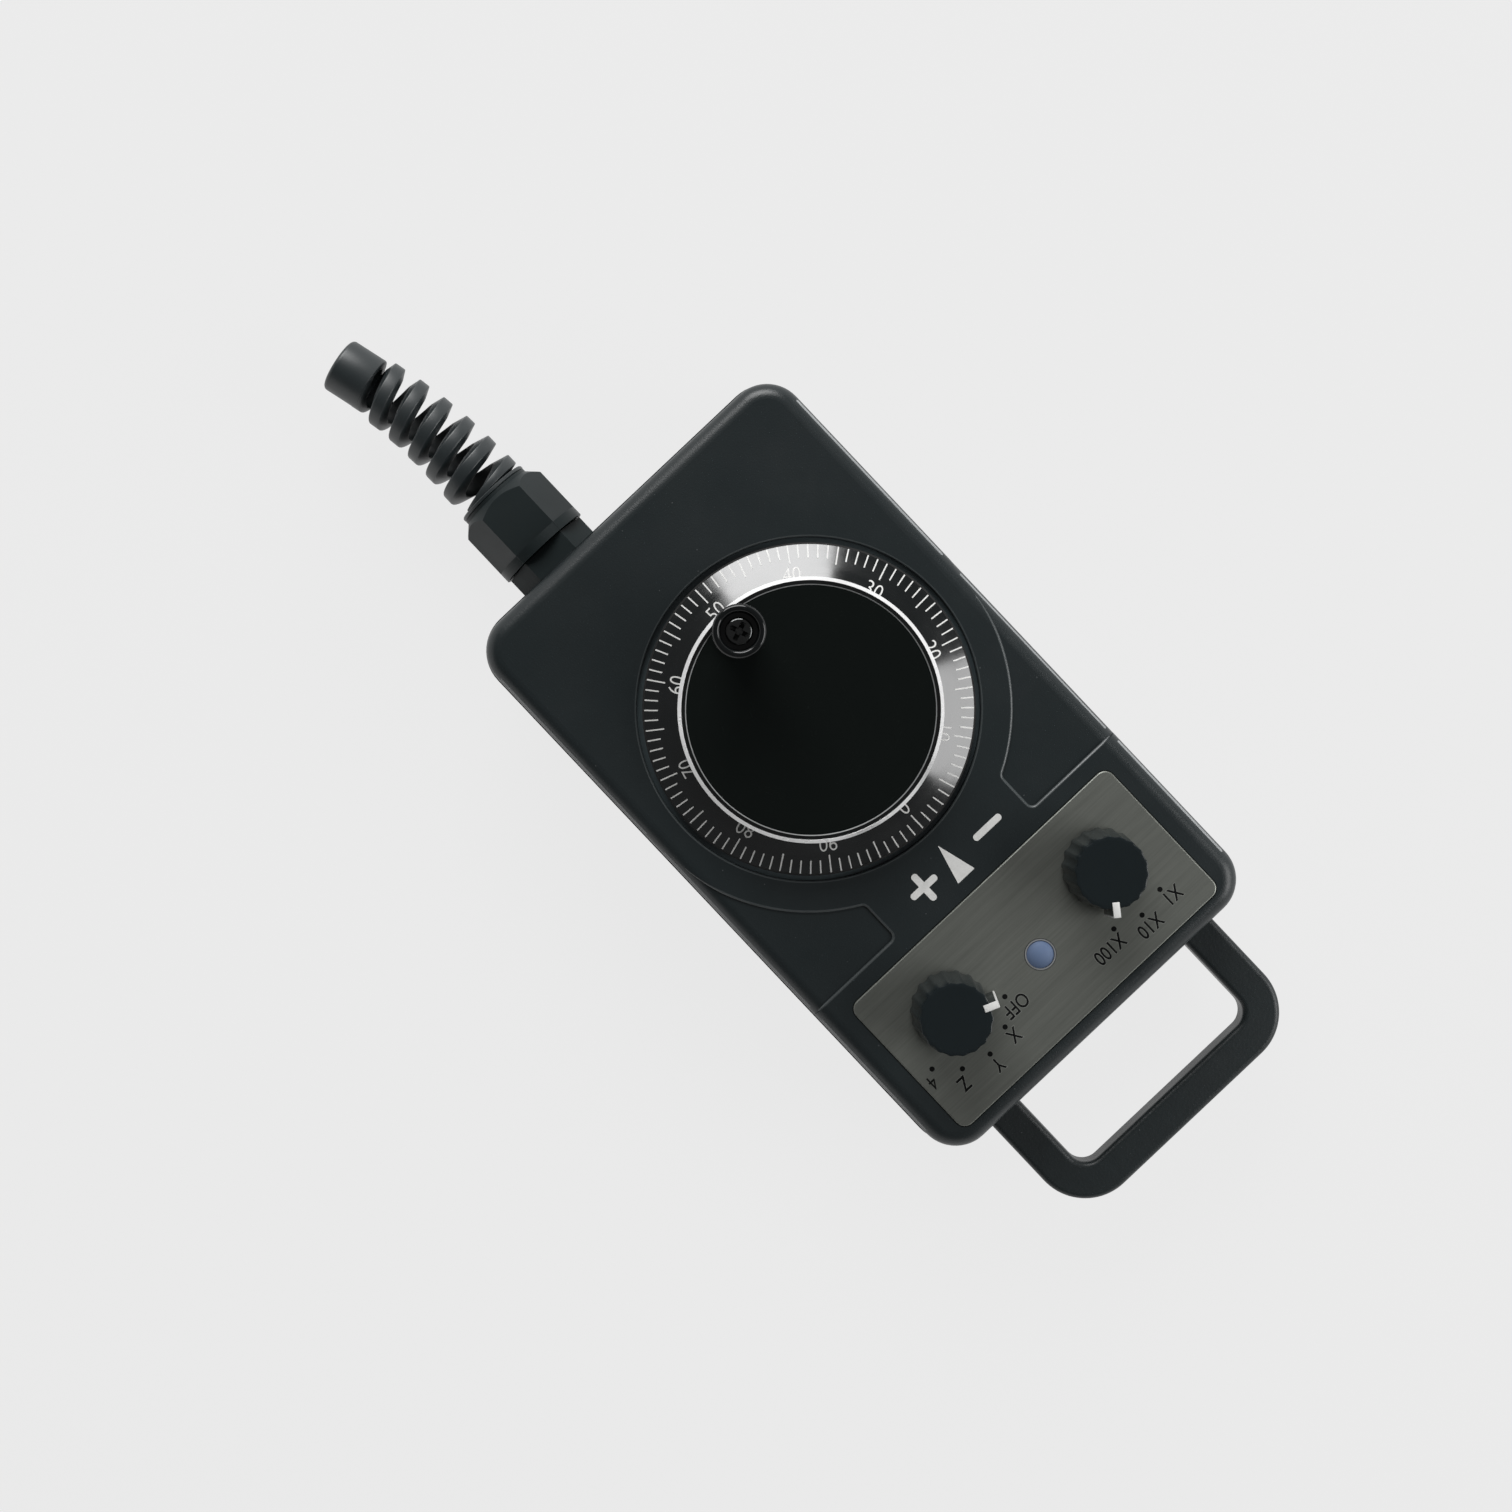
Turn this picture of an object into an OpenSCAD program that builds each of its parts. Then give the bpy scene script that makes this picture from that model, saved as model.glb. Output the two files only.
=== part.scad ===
// Hand-held pulse generator: a two-shell case with a 60 mm handwheel, two selector
// knobs, an indicator, a hanger loop and a cable gland with a spiral bend guard.
// Origin: on the flat back, under the wheel's axis. +Z out of the face, +Y to the loop.

/* [Case] */
// Width of the case beside the wheel's well, at the joint between its shells
side_land = 6.9; // [6.6:0.1:12]
// Length of the case between the wheel's well and the cable end
cable_end_land = 19.6; // [19:0.2:26]
// Length of the case between the label plate and the loop end
loop_end_land = 4.15; // [4:0.05:8]
// Depth of the case from its flat back to its face
case_h = 32; // [31.5:0.5:40]
// Depth of the rear shell, from the back to the joint
rear_h = 21.5; // [21.5:0.25:23]
// Corner radius of the case, seen from the front
case_corner_r = 8; // [7.5:0.5:12]
// Radius of the rounded rim of each shell
case_edge_r = 3; // [1.5:0.25:3.25]
// Thickness of the side walls
wall_t = 3; // [2.8:0.1:3.6]
// Thickness of the front wall
face_t = 3; // [2.8:0.1:3.6]
// Thickness of the rear floor
floor_t = 2.5; // [2:0.1:3.2]
// Inward lean of the front shell's walls over their height
front_lean = 0.6; // [0.2:0.1:1]
// Inward lean of the rear shell's walls over their height
rear_lean = 0.8; // [0.2:0.1:1.2]
// Step of the front shell inside the outline of the rear shell
joint_step = 0.25; // [0.1:0.05:0.4]
// Width of the sealing cord between the shells
gasket_w = 1.2; // [0.8:0.1:1.3]
// Thickness of the sealing cord
gasket_t = 1; // [0.6:0.1:1.4]
// Radius of the screw columns
boss_r = 3.6; // [3.4:0.1:4]

/* [Face] */
// Gap between the wheel and the wall of the round well that it turns in
well_gap = 1.05; // [0.7:0.05:2]
// Depth of the wheel's well
well_depth = 1.8; // [1.4:0.1:1.9]
// Radius of the well's rounded lip
well_lip_r = 0.35; // [0.2:0.05:0.5]
// Depth of the two side panels
panel_depth = 0.6; // [0.3:0.1:1]
// Distance of each side panel from the middle of the case
panel_x = 16.5; // [14:0.5:22]
// Gap between the side panels and the label plate
panel_plate_gap = 3.1; // [1:0.1:6]
// Width of the band between the wheel's well and the side panels
panel_band = 5.3; // [3:0.1:5.6]
// Corner radius of the side panels
panel_corner_r = 1.6; // [0.8:0.2:2.4]

/* [Label plate] */
// Distance of the brushed plate from each side of the case
plate_side = 6.15; // [4.5:0.05:9]
// Height of the brushed plate
plate_l = 30.3; // [29:0.1:31]
// Thickness of the brushed plate
plate_t = 0.8; // [0.6:0.1:1.2]
// How far the plate stands above the face
plate_proud = 0.3; // [0.1:0.05:0.4]
// Corner radius of the plate
plate_corner_r = 2; // [1:0.25:3]
// Gap between the wheel's well and the plate
plate_well_gap = 13.15; // [11:0.05:18]

/* [Selector knobs] */
// Distance of each knob's axis from its end of the plate
knob_inset = 13.05; // [11:0.05:15]
// Distance of the knobs' axes from the plate's edge on the wheel's side
knob_rise = 12.65; // [10.5:0.05:16]
// Height of a knob
knob_h = 14.6; // [13:0.2:17]
// Radius of a knob at its foot
knob_base_r = 7.15; // [7:0.05:7.6]
// Radius of a knob at its top
knob_top_r = 6.15; // [5.8:0.05:6.6]
// Gap between a knob and the plate
knob_gap = 0.4; // [0.3:0.05:0.7]
// Number of flutes round a knob
knob_flutes = 18; // [12:1:24]
// Depth of the flutes
flute_depth = 0.32; // [0.15:0.01:0.4]
// Width of the bevel round the knob's top
knob_bevel = 0.3; // [0.1:0.05:0.5]
// Width of the white pointer on a knob
pointer_w = 1.25; // [0.8:0.05:1.6]
// How far the pointer stands out of the knob's side
pointer_proud = 0.45; // [0.2:0.05:0.7]
// How far the pointer reaches in over the knob's top
pointer_reach = 2.3; // [1:0.1:3.5]
// Angle of the axis selector's pointer at rest, from the loop end
axis_rest_deg = 67.5; // [60:0.5:75]
// Angle of the multiplier selector's pointer at rest, from the loop end
multiplier_rest_deg = -36.5; // [-45:0.5:-30]

/* [Selector switches] */
// Diameter of a switch shaft
switch_shaft_d = 6; // [5:0.2:6]
// Diameter of the threaded bush of a switch
bush_d = 7.5; // [7.1:0.1:8]
// Width across flats of the bush nut
bush_nut_af = 10; // [9.5:0.1:10.2]
// Diameter of a switch body
switch_d = 20; // [18:0.5:20.5]
// Depth of a switch body behind the face wall
switch_depth = 12; // [10:0.5:12]

/* [Indicator] */
// Distance of the indicator from the plate's edge on the wheel's side
lamp_rise = 16.55; // [12:0.05:24]
// Diameter of the indicator lens
lamp_d = 5; // [3:0.5:6]
// Wall of the holder round the lens
lamp_holder_t = 0.3; // [0.2:0.05:0.5]

/* [Handwheel] */
// Diameter of the graduated ring
wheel_d = 59.9; // [56:0.1:60]
// Gap between the ring and the floor of its well
wheel_gap = 0.5; // [0.3:0.1:0.8]
// Height of the ring's outer edge above the face
ring_edge_h = 1.2; // [0.8:0.1:2]
// Height of the ring's inner edge above the face
ring_top_h = 5.8; // [5:0.1:7]
// How far the raised disc stands out over the ring's slope
disc_overlap = 2.17; // [0.5:0.01:4]
// Thickness of the ring's wall
ring_wall_t = 1.5; // [1:0.1:2]
// Radius of the raised disc
disc_r = 23.57; // [22.6:0.01:25]
// Thickness of the raised disc
disc_t = 3.4; // [3:0.1:5]
// Width of the bright chamfer round the disc
disc_chamfer = 0.65; // [0.3:0.05:0.8]
// Width of the disc's rim outside the black insert
disc_rim = 1.57; // [1:0.01:3]
// Thickness of the insert
insert_t = 0.9; // [0.6:0.1:1.2]

/* [Crank] */
// Distance of the crank's axis from the disc's edge
crank_inset = 4.72; // [4.7:0.01:8]
// Height of the crank grip
crank_h = 17; // [14:0.5:22]
// Radius of the grip's waist
crank_waist_r = 3.65; // [3.2:0.05:4]
// Largest radius of the grip
crank_grip_r = 4.6; // [4.4:0.05:5.2]
// Radius of the recess in the top of the grip
crank_recess_r = 3.3; // [2.8:0.05:3.4]
// Depth of the recess
crank_recess_h = 2.4; // [2:0.1:4]
// Diameter of the crank's shoulder screw
crank_screw_d = 3; // [2.5:0.1:3.2]

/* [Encoder] */
// Radius of the encoder's cup
encoder_r = 26; // [24.8:0.2:28]
// Depth of the encoder's cup
encoder_depth = 15.5; // [15:0.1:16]
// Diameter of the wheel's shaft
wheel_shaft_d = 6; // [5:0.1:6.4]
// Outer diameter of the shaft's bearings
bearing_d = 12; // [11:0.5:13]
// Width of a bearing
bearing_w = 3.5; // [3:0.1:4]
// Pulses, and so slots and detents, in one turn
pulses = 100; // [50:10:100]
// Radius of the slotted code disc
code_r = 20; // [19:0.2:20.6]
// Radius of the notched detent wheel
detent_r = 12; // [11:0.2:13]

/* [Hanger loop] */
// Distance of the loop from each side of the case
loop_inset = 9.75; // [9:0.05:16]
// Reach of the loop past the end of the case
loop_out = 26.7; // [20:0.1:40]
// Width of the loop's bar
loop_bar_w = 6.9; // [6:0.1:7.5]
// Thickness of the loop's bar
loop_bar_t = 6; // [5:0.1:7]
// Inner corner radius of the loop
loop_inner_r = 3.6; // [2:0.1:6]
// Rounding of the bar's edges
loop_edge_r = 1.1; // [0.5:0.1:2]
// Height of the loop's middle above the back
loop_z = 14; // [13:0.1:14.2]
// Length of each leg held inside the case
loop_grip_l = 4.5; // [3.5:0.5:5]

/* [Cable gland] */
// Distance of the gland's axis from the side of the case
gland_inset = 22.8; // [21:0.1:38]
// Height of the gland's axis above the back
gland_z = 13; // [12.6:0.1:13]
// Diameter of the gland's thread in the case wall
gland_thread_d = 12.5; // [11:0.5:12.5]
// Width across flats of the gland body
gland_body_af = 15.2; // [14.8:0.1:15.6]
// Length of the gland body's hexagon
gland_body_l = 4.2; // [3:0.1:6]
// Width across flats of the gland nut
gland_nut_af = 16.1; // [16:0.1:17]
// Length of the gland nut
gland_nut_l = 13.6; // [13:0.1:15]
// Width across flats of the lock nut inside the case
lock_nut_af = 17; // [15:0.5:17]

/* [Boards] */
// Distance of the main board from each side of the case
board_inset = 9.9; // [8:0.1:14]
// Distance of the main board from the loop end of the case
board_end_gap = 14.6; // [14:0.1:20]
// Length of the main board along the case
board_l = 36; // [30:0.5:40]
// Thickness of both boards
board_t = 1.6; // [1:0.1:2]
// Height of the posts under the main board
board_post_h = 3; // [2:0.1:4]
// Length of the main board's screw terminals
terminal_l = 40; // [20:1:44]
// Length of the encoder's screw terminals
encoder_terminal_l = 24; // [16:1:28]

/* [Bend guard] */
// Radius of the cable way through the guard
cable_r = 3.5; // [3:0.1:3.6]
// Number of turns in the spiral
guard_turns = 6; // [4:1:7]
// Distance between the turns
guard_pitch = 5.17; // [4.6:0.01:6]
// Outer radius of the first turn
guard_root_r = 7.2; // [7:0.05:8]
// Outer radius of the last turn
guard_tip_r = 6; // [5.7:0.05:6.5]
// Width of the strip at its outer edge
strip_outer_w = 2.2; // [1.6:0.1:2.6]
// Width of the strip at its inner edge
strip_inner_w = 3.8; // [3:0.1:4]
// Radius of the end sleeve
sleeve_r = 5.3; // [5:0.05:5.6]
// Length of the end sleeve
sleeve_l = 6.7; // [5:0.1:10]
// Radius of the guard's set bend
guard_bend_r = 95; // [80:5:300]
// Straight length before the bend starts
guard_straight = 8; // [2:0.5:14]

/* [Hidden] */
$fn = 72;

// Clearances
slip = 0.05;      // a screw, plug or running shaft in its hole
clear = 0.1;      // a screw or bush that passes through a wall
loose = 0.15;     // a piece dropped into its pocket
seat = 0.02;      // a bearing or hub on its seat
over = 1;         // how far a cutter passes the face that it opens
hair = 0.001;     // lets an inner block open the face that it ends on
root = 0.5;       // how deep a column, rib or post starts inside its wall

// The case: its width follows the wheel, and its length the wheel and the plate
wheel_r = wheel_d / 2;
well_r = wheel_r + well_gap;
case_w = 2 * (well_r + side_land);
wheel_to_end = well_r + cable_end_land;
plate_foot_y = well_r + plate_well_gap;
plate_y = plate_foot_y + plate_l / 2;
loop_end_y = plate_foot_y + plate_l + loop_end_land;
case_l = wheel_to_end + loop_end_y;
case_yc = case_l / 2 - wheel_to_end;
front_h = case_h - rear_h;
inside_z = case_h - face_t;
boss_inset = wall_t + boss_r - 0.2;
boss_x = case_w / 2 - boss_inset;
boss_ys = [boss_inset - wheel_to_end, loop_end_y - boss_inset];
screw_r = 1.5;
screw_head_r = 2.75;
screw_head_h = 1.6;
screw_end_gap = 0.5;
case_head_depth = floor_t + 0.6;
thread_depth = front_h - face_t - 1;
panel_arc_r = well_r + panel_band;
panel_top = plate_foot_y - panel_plate_gap;

// The plate and what stands on it
plate_w = case_w - 2 * plate_side;
knob_x = plate_w / 2 - knob_inset;
knob_y = plate_foot_y + knob_rise;
lamp_y = plate_foot_y + lamp_rise;
plate_top = case_h + plate_proud;
pocket_depth = plate_t - plate_proud;
bush_r = bush_d / 2;
bush_h = 2.7;
bush_nut_h = 2;
shaft_reach = 11.6;
knob_foot = plate_top + knob_gap;
knob_pocket_r = bush_nut_af / sqrt(3) + 0.35;
knob_pocket_h = bush_nut_h + 0.6;
shaft_flat = 0.5;
shaft_bed = 4;
shaft_tip_gap = 0.4;
lamp_hole_r = lamp_d / 2 + lamp_holder_t + slip;
lamp_flange_w = 1.2;
lamp_flange_h = 1.5;
lamp_tail = 3;
lead_pitch = 2.54;
lead_w = 0.5;
lead_l = 6;

// The wheel
ring_flat_r = disc_r - disc_overlap;
insert_r = disc_r - disc_rim;
ring_edge_round = 0.3;
insert_gap = 0.06;
insert_sink = 0.1;
disc_undercut = 0.6;
pocket_round = 0.15;
well_floor = case_h - well_depth;
ring_foot = well_floor + wheel_gap;
ring_top = case_h + ring_top_h;
disc_top = ring_top + disc_t;
insert_top = disc_top - insert_sink;
insert_foot = insert_top - insert_t;
hub_r = 8;
wheel_shaft_r = wheel_shaft_d / 2;
shaft_top = ring_top - 0.8;
shaft_web = 1.3;
shaft_thread_l = 8;
shaft_foot = inside_z - encoder_depth + 1.2;
collar_h = 0.9;
collar_w = 1.2;

// The crank
crank_r = disc_r - crank_inset;
crank_foot = disc_top + loose;
crank_top = crank_foot + crank_h;
crank_floor = crank_top - crank_recess_h;
crank_screw_r = crank_screw_d / 2;
crank_head_r = 2.15;
crank_head_h = 1.5;
crank_rim_h = 1.6;
crank_washer_r = crank_waist_r - 0.9;
crank_screw_gap = 0.3;

// The encoder, hung from the front wall
cup_foot = inside_z - encoder_depth;
cup_wall = 2;
bearing_r = bearing_d / 2;
cup_roof = 2.5;
cup_hub_wall = 2.5;
cup_hub_r = bearing_r + cup_hub_wall;
cup_hub_foot = inside_z - 9.5;
cup_hub_top = well_floor - clear;
upper_bearing_z = cup_hub_top - bearing_w;
bearing_lip = 1.5;
encoder_screw_inset = 4;
encoder_screw_r = encoder_r - encoder_screw_inset;
encoder_screw_angles = [90, 210, 330];
encoder_screw_l = 5;
screw_column_r = 3;
screw_column_h = 6;
spacer_wall = 1.5;
detent_t = 1.6;
detent_z = cup_hub_foot - detent_t - 0.3;
code_t = 0.4;
code_z = detent_z - code_t - 1;
slot_l = 2.4;
slot_rim = 0.8;
sensor_w = 8;
sensor_reach = 4;
sensor_gap = 0.6;
spring_t = 0.3;
spring_post_w = 2;
nose_r = 0.5;
detent_gap = 0.12;
spring_y = -(detent_r + detent_gap + nose_r);
spring_half = 13;

// The main board on the rear floor, and the terminals under and on the boards
board_w = case_w - 2 * board_inset;
board_y = loop_end_y - board_end_gap - board_l / 2;
board_z = floor_t + board_post_h;
board_hole_inset = 3;
board_hole_x = board_w / 2 - board_hole_inset;
board_hole_y = board_l / 2 - board_hole_inset;
board_post_r = 2.4;
board_screw_r = 1;
board_head_r = 1.9;
board_head_h = 1.3;
terminal_w = 8;
terminal_step_w = 6;
terminal_h = 7.4;
terminal_step_h = 5;
terminal_pitch = 4;
wire_hole_w = 2.6;
wire_hole_z = 1.2;
terminal_screw_r = 1.5;
terminal_edge_gap = 1;

// The hanger loop
leg_x = case_w / 2 - loop_inset - loop_bar_w / 2;
loop_mid_r = loop_inner_r + loop_bar_w / 2;
loop_bar_y = loop_end_y + loop_out - loop_bar_w / 2;
leg_foot_y = loop_end_y - wall_t - loop_grip_l;
loop_screw_gap = 1;
socket_t = 2;
socket_rib = 2.2;

// The gland, outwards from its seat on the case
gland_x = case_w / 2 - gland_inset;
gland_seat_y = -wheel_to_end - 0.1;
gland_inner_seat = gland_seat_y + wall_t + 1.2;
gland_seat_margin = 0.8;
lock_nut_l = 4;
thread_end = 1.2;
gland_stub_r = 6.8;
gland_stub_l = 8.5;
gland_bore_r = cable_r + 0.2;
seal_r = 5.4;
seal_l = 6.5;
seal_z = gland_body_l + 2.6;
nut_start = gland_body_l + loose;
nut_end = nut_start + gland_nut_l;
nut_collar_l = 1.95;
nut_nose_l = 0.6;
nut_slope_l = 2;
guard_flange_r = gland_stub_r - clear;
guard_neck_r = 5.4;
guard_flange_l = 1.8;
exit_wall = 2.4;
guard_collar_l = 0.8;
guard_collar_r = guard_root_r + 0.15;
guard_start = nut_end + guard_collar_l;
spiral_l = guard_turns * guard_pitch;
strip_inner_r = cable_r + 0.4;
strip_steps = 24;
strip_phase = -30;
strip_overlap = 0.35;

// ---------------------------------------------------------------- shared shapes

// Rectangle with round corners, centred
module round_rect(w, l, r) {
    square([w - 2 * r, l], center = true);
    square([w, l - 2 * r], center = true);
    for (x = [-1, 1], y = [-1, 1])
        translate([x * (w / 2 - r), y * (l / 2 - r)]) circle(r);
}

// Section of a leaning wall from the corner's axis outwards, its rim rounded or sharp
module leaning_edge(plan_r, h, lean, edge_r) {
    if (edge_r > 0) {
        slant = norm([h, lean]);
        cx = plan_r - ((h - edge_r) * lean + edge_r * slant) / h;
        tangent = [cx + edge_r * h / slant, h - edge_r + edge_r * lean / slant];
        polygon([[0, 0], [plan_r, 0], tangent, [cx, h], [0, h]]);
        translate([cx, h - edge_r]) circle(edge_r);
    } else {
        polygon([[0, 0], [plan_r, 0], [plan_r - lean, h], [0, h]]);
    }
}

// Solid block with leaning walls and round corners; its rim is sharp if edge_r is 0
module case_block(w, l, plan_r, h, lean, edge_r) {
    half_w = w / 2 - plan_r;
    half_l = l / 2 - plan_r;
    rotate([90, 0, 0]) linear_extrude(2 * half_l, center = true) {
        translate([-half_w, 0]) square([2 * half_w, h]);
        for (side = [0, 1]) mirror([side, 0]) translate([half_w, 0])
            leaning_edge(plan_r, h, lean, edge_r);
    }
    for (turn = [0, 180]) rotate(turn) translate([0, half_l, 0])
        rotate([90, 0, 90]) linear_extrude(2 * half_w, center = true)
            leaning_edge(plan_r, h, lean, edge_r);
    for (side_x = [0, 1], side_y = [0, 1])
        mirror([side_x, 0, 0]) mirror([0, side_y, 0]) translate([half_w, half_l, 0])
            rotate_extrude(angle = 90) leaning_edge(plan_r, h, lean, edge_r);
}

// Six-sided prism along Z, with its flats facing +Y and -Y
module hex(af, h) {
    cylinder(r = af / sqrt(3), h = h, $fn = 6);
}

// Ring along Z
module ring(outer_r, inner_r, h) {
    difference() {
        cylinder(r = outer_r, h = h);
        translate([0, 0, -over]) cylinder(r = inner_r, h = h + 2 * over);
    }
}

// Pan-head screw pointing down: the underside of its head is at z = 0
module pan_screw(shank_r, length, head_r, head_h) {
    edge_r = head_h / 2;
    slot_half = head_r * 0.55;
    slot_w = head_r * 0.26;
    slot_floor = head_h * 0.4;
    translate([0, 0, -length]) cylinder(r = shank_r, h = length);
    difference() {
        rotate_extrude() {
            square([head_r, edge_r]);
            square([head_r - edge_r, head_h]);
            translate([head_r - edge_r, edge_r]) circle(edge_r);
        }
        for (turn = [0, 90]) rotate(turn)
            translate([-slot_half, -slot_w / 2, slot_floor])
                cube([2 * slot_half, slot_w, head_h]);
    }
}

// Puts a piece that is drawn along +Z on the gland's axis, outwards from its seat
module on_gland() {
    translate([gland_x, gland_seat_y, gland_z]) rotate([90, 0, 0]) children();
}

// ---------------------------------------------------------------- case

// Outline of the side panel on the +X side
module panel_outline() {
    outer_x = case_w / 2 + over;
    fade = 5;
    round_x = panel_x + panel_corner_r;
    round_y = sqrt(pow(panel_arc_r + panel_corner_r, 2) - pow(round_x, 2));
    touch = [round_x, round_y] * panel_arc_r / (panel_arc_r + panel_corner_r);
    tip_y = sqrt(pow(panel_arc_r, 2) - pow(panel_x, 2));
    difference() {
        polygon([[panel_x, 0], [panel_x, panel_top - panel_corner_r],
            [round_x, panel_top - panel_corner_r], [round_x, panel_top],
            [outer_x, panel_top], [outer_x, -fade], [panel_arc_r, 0]]);
        circle(panel_arc_r, $fn = 180);
        polygon([[panel_x - over, round_y], [panel_x - over, tip_y - over],
            [panel_x, tip_y - over], touch, [round_x, round_y]]);
    }
    translate([round_x, panel_top - panel_corner_r]) circle(panel_corner_r);
    translate([round_x, round_y]) circle(panel_corner_r);
}

// Outer form of the front shell, with its face sunk in the two side panels
module front_form() {
    w = case_w - 2 * joint_step;
    l = case_l - 2 * joint_step;
    r = case_corner_r - joint_step;
    low_h = front_h - panel_depth;
    translate([0, case_yc, rear_h])
        case_block(w, l, r, low_h, front_lean * low_h / front_h, case_edge_r);
    difference() {
        translate([0, case_yc, rear_h]) case_block(w, l, r, front_h, front_lean, case_edge_r);
        for (side = [0, 1]) mirror([side, 0, 0])
            translate([0, 0, rear_h - over]) linear_extrude(front_h + 2 * over) panel_outline();
    }
}

module front_shell() {
    inner_h = front_h - face_t;
    inset = joint_step + wall_t;
    color([0.09, 0.095, 0.1]) difference() {
        union() {
            difference() {
                front_form();
                translate([0, case_yc, rear_h - hair])
                    case_block(case_w - 2 * inset, case_l - 2 * inset, case_corner_r - inset,
                        inner_h + hair, front_lean * inner_h / front_h, 0);
            }
            for (x = [-1, 1], y = boss_ys)
                translate([x * boss_x, y, rear_h]) cylinder(r = boss_r, h = inner_h + root);
        }
        // the wheel's well, with its lip rounded over
        translate([0, 0, well_floor]) cylinder(r = well_r, h = well_depth + over);
        translate([0, 0, case_h]) rotate_extrude() difference() {
            translate([well_r - over, -well_lip_r]) square([well_lip_r + over, well_lip_r + over]);
            translate([well_r + well_lip_r, -well_lip_r]) circle(well_lip_r);
        }
        // the encoder's hub and its three screws
        translate([0, 0, rear_h]) cylinder(r = cup_hub_r + 0.3, h = front_h);
        for (a = encoder_screw_angles) rotate(a) translate([encoder_screw_r, 0, rear_h])
            cylinder(r = screw_r + clear, h = front_h);
        // the label plate's pocket, the two switch bushes and the indicator
        translate([0, plate_y, case_h - pocket_depth]) linear_extrude(pocket_depth + over)
            round_rect(plate_w + 2 * loose, plate_l + 2 * loose, plate_corner_r + loose);
        for (x = [-1, 1]) translate([x * knob_x, knob_y, rear_h])
            cylinder(r = bush_r + clear, h = front_h);
        translate([0, lamp_y, rear_h]) cylinder(r = lamp_hole_r, h = front_h);
        // pilot holes of the case screws
        for (x = [-1, 1], y = boss_ys) translate([x * boss_x, y, rear_h - over])
            cylinder(r = screw_r + slip, h = thread_depth + over);
    }
}

// Block that holds one leg of the loop, standing on the rear floor
module leg_socket() {
    w = loop_bar_w + 2 * (socket_t + loose);
    translate([leg_x - w / 2, leg_foot_y - socket_rib, floor_t - root])
        cube([w, loop_end_y - leg_foot_y + socket_rib - wall_t * 0.6,
            loop_z + loop_bar_t / 2 + socket_t - floor_t + root]);
}

module rear_shell() {
    inner_h = rear_h - floor_t;
    color([0.085, 0.09, 0.095]) difference() {
        union() {
            difference() {
                translate([0, case_yc, rear_h]) mirror([0, 0, 1])
                    case_block(case_w, case_l, case_corner_r, rear_h, rear_lean, case_edge_r);
                translate([0, case_yc, rear_h + hair]) mirror([0, 0, 1])
                    case_block(case_w - 2 * wall_t, case_l - 2 * wall_t, case_corner_r - wall_t,
                        inner_h + hair, rear_lean * inner_h / rear_h, 0);
            }
            for (x = [-1, 1], y = boss_ys)
                translate([x * boss_x, y, floor_t - root])
                    cylinder(r = boss_r, h = rear_h - floor_t + root);
            for (x = [-1, 1], y = [-1, 1])
                translate([x * board_hole_x, board_y + y * board_hole_y, floor_t - root])
                    cylinder(r = board_post_r, h = board_post_h + root);
            for (side = [0, 1]) mirror([side, 0, 0]) leg_socket();
            // flat seats for the gland, outside and inside the end wall
            on_gland() translate([0, 0, gland_seat_y - gland_inner_seat])
                cylinder(r = gland_body_af / 2 + gland_seat_margin,
                    h = gland_inner_seat - gland_seat_y);
        }
        // case screws and their heads
        for (x = [-1, 1], y = boss_ys) translate([x * boss_x, y, -over]) {
            cylinder(r = screw_r + 2 * clear, h = rear_h + 2 * over);
            cylinder(r = screw_head_r + loose + clear, h = case_head_depth + over);
        }
        for (x = [-1, 1], y = [-1, 1])
            translate([x * board_hole_x, board_y + y * board_hole_y, floor_t])
                cylinder(r = board_screw_r + slip, h = board_post_h + over);
        // the sealing cord's groove in the rim
        translate([0, case_yc, rear_h - gasket_t]) linear_extrude(gasket_t + over)
            gasket_outline(slip);
        // the loop's legs and their screws
        for (side = [0, 1]) mirror([side, 0, 0]) {
            translate([leg_x, leg_foot_y - loose, loop_z]) rotate([-90, 0, 0])
                linear_extrude(loop_grip_l + 2 * wall_t + 2 * loose)
                    round_rect(loop_bar_w + 2 * loose, loop_bar_t + 2 * loose, loop_edge_r);
            translate([leg_x, leg_foot_y - socket_rib - over, loop_z]) rotate([-90, 0, 0])
                cylinder(r = screw_r + slip, h = socket_rib + 2 * over);
        }
        // the gland's thread
        on_gland() translate([0, 0, gland_seat_y - gland_inner_seat - over])
            cylinder(r = gland_thread_d / 2 + clear, h = gland_inner_seat - gland_seat_y + 2 * over);
    }
}

// Outline of the sealing cord, grown on both sides by a clearance
module gasket_outline(grow) {
    inset = (wall_t + joint_step - gasket_w) / 2;
    outer = inset - grow;
    inner = inset + gasket_w + grow;
    difference() {
        round_rect(case_w - 2 * outer, case_l - 2 * outer, case_corner_r - outer);
        round_rect(case_w - 2 * inner, case_l - 2 * inner, case_corner_r - inner);
    }
}

module case_gasket() {
    color([0.2, 0.2, 0.2]) translate([0, case_yc, rear_h - gasket_t + seat])
        linear_extrude(gasket_t - seat) gasket_outline(0);
}

module case_screws() {
    color("silver") for (x = [-1, 1], y = boss_ys)
        translate([x * boss_x, y, case_head_depth]) mirror([0, 0, 1])
            pan_screw(screw_r, rear_h - case_head_depth + thread_depth - screw_end_gap,
                screw_head_r, screw_head_h);
}

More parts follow.
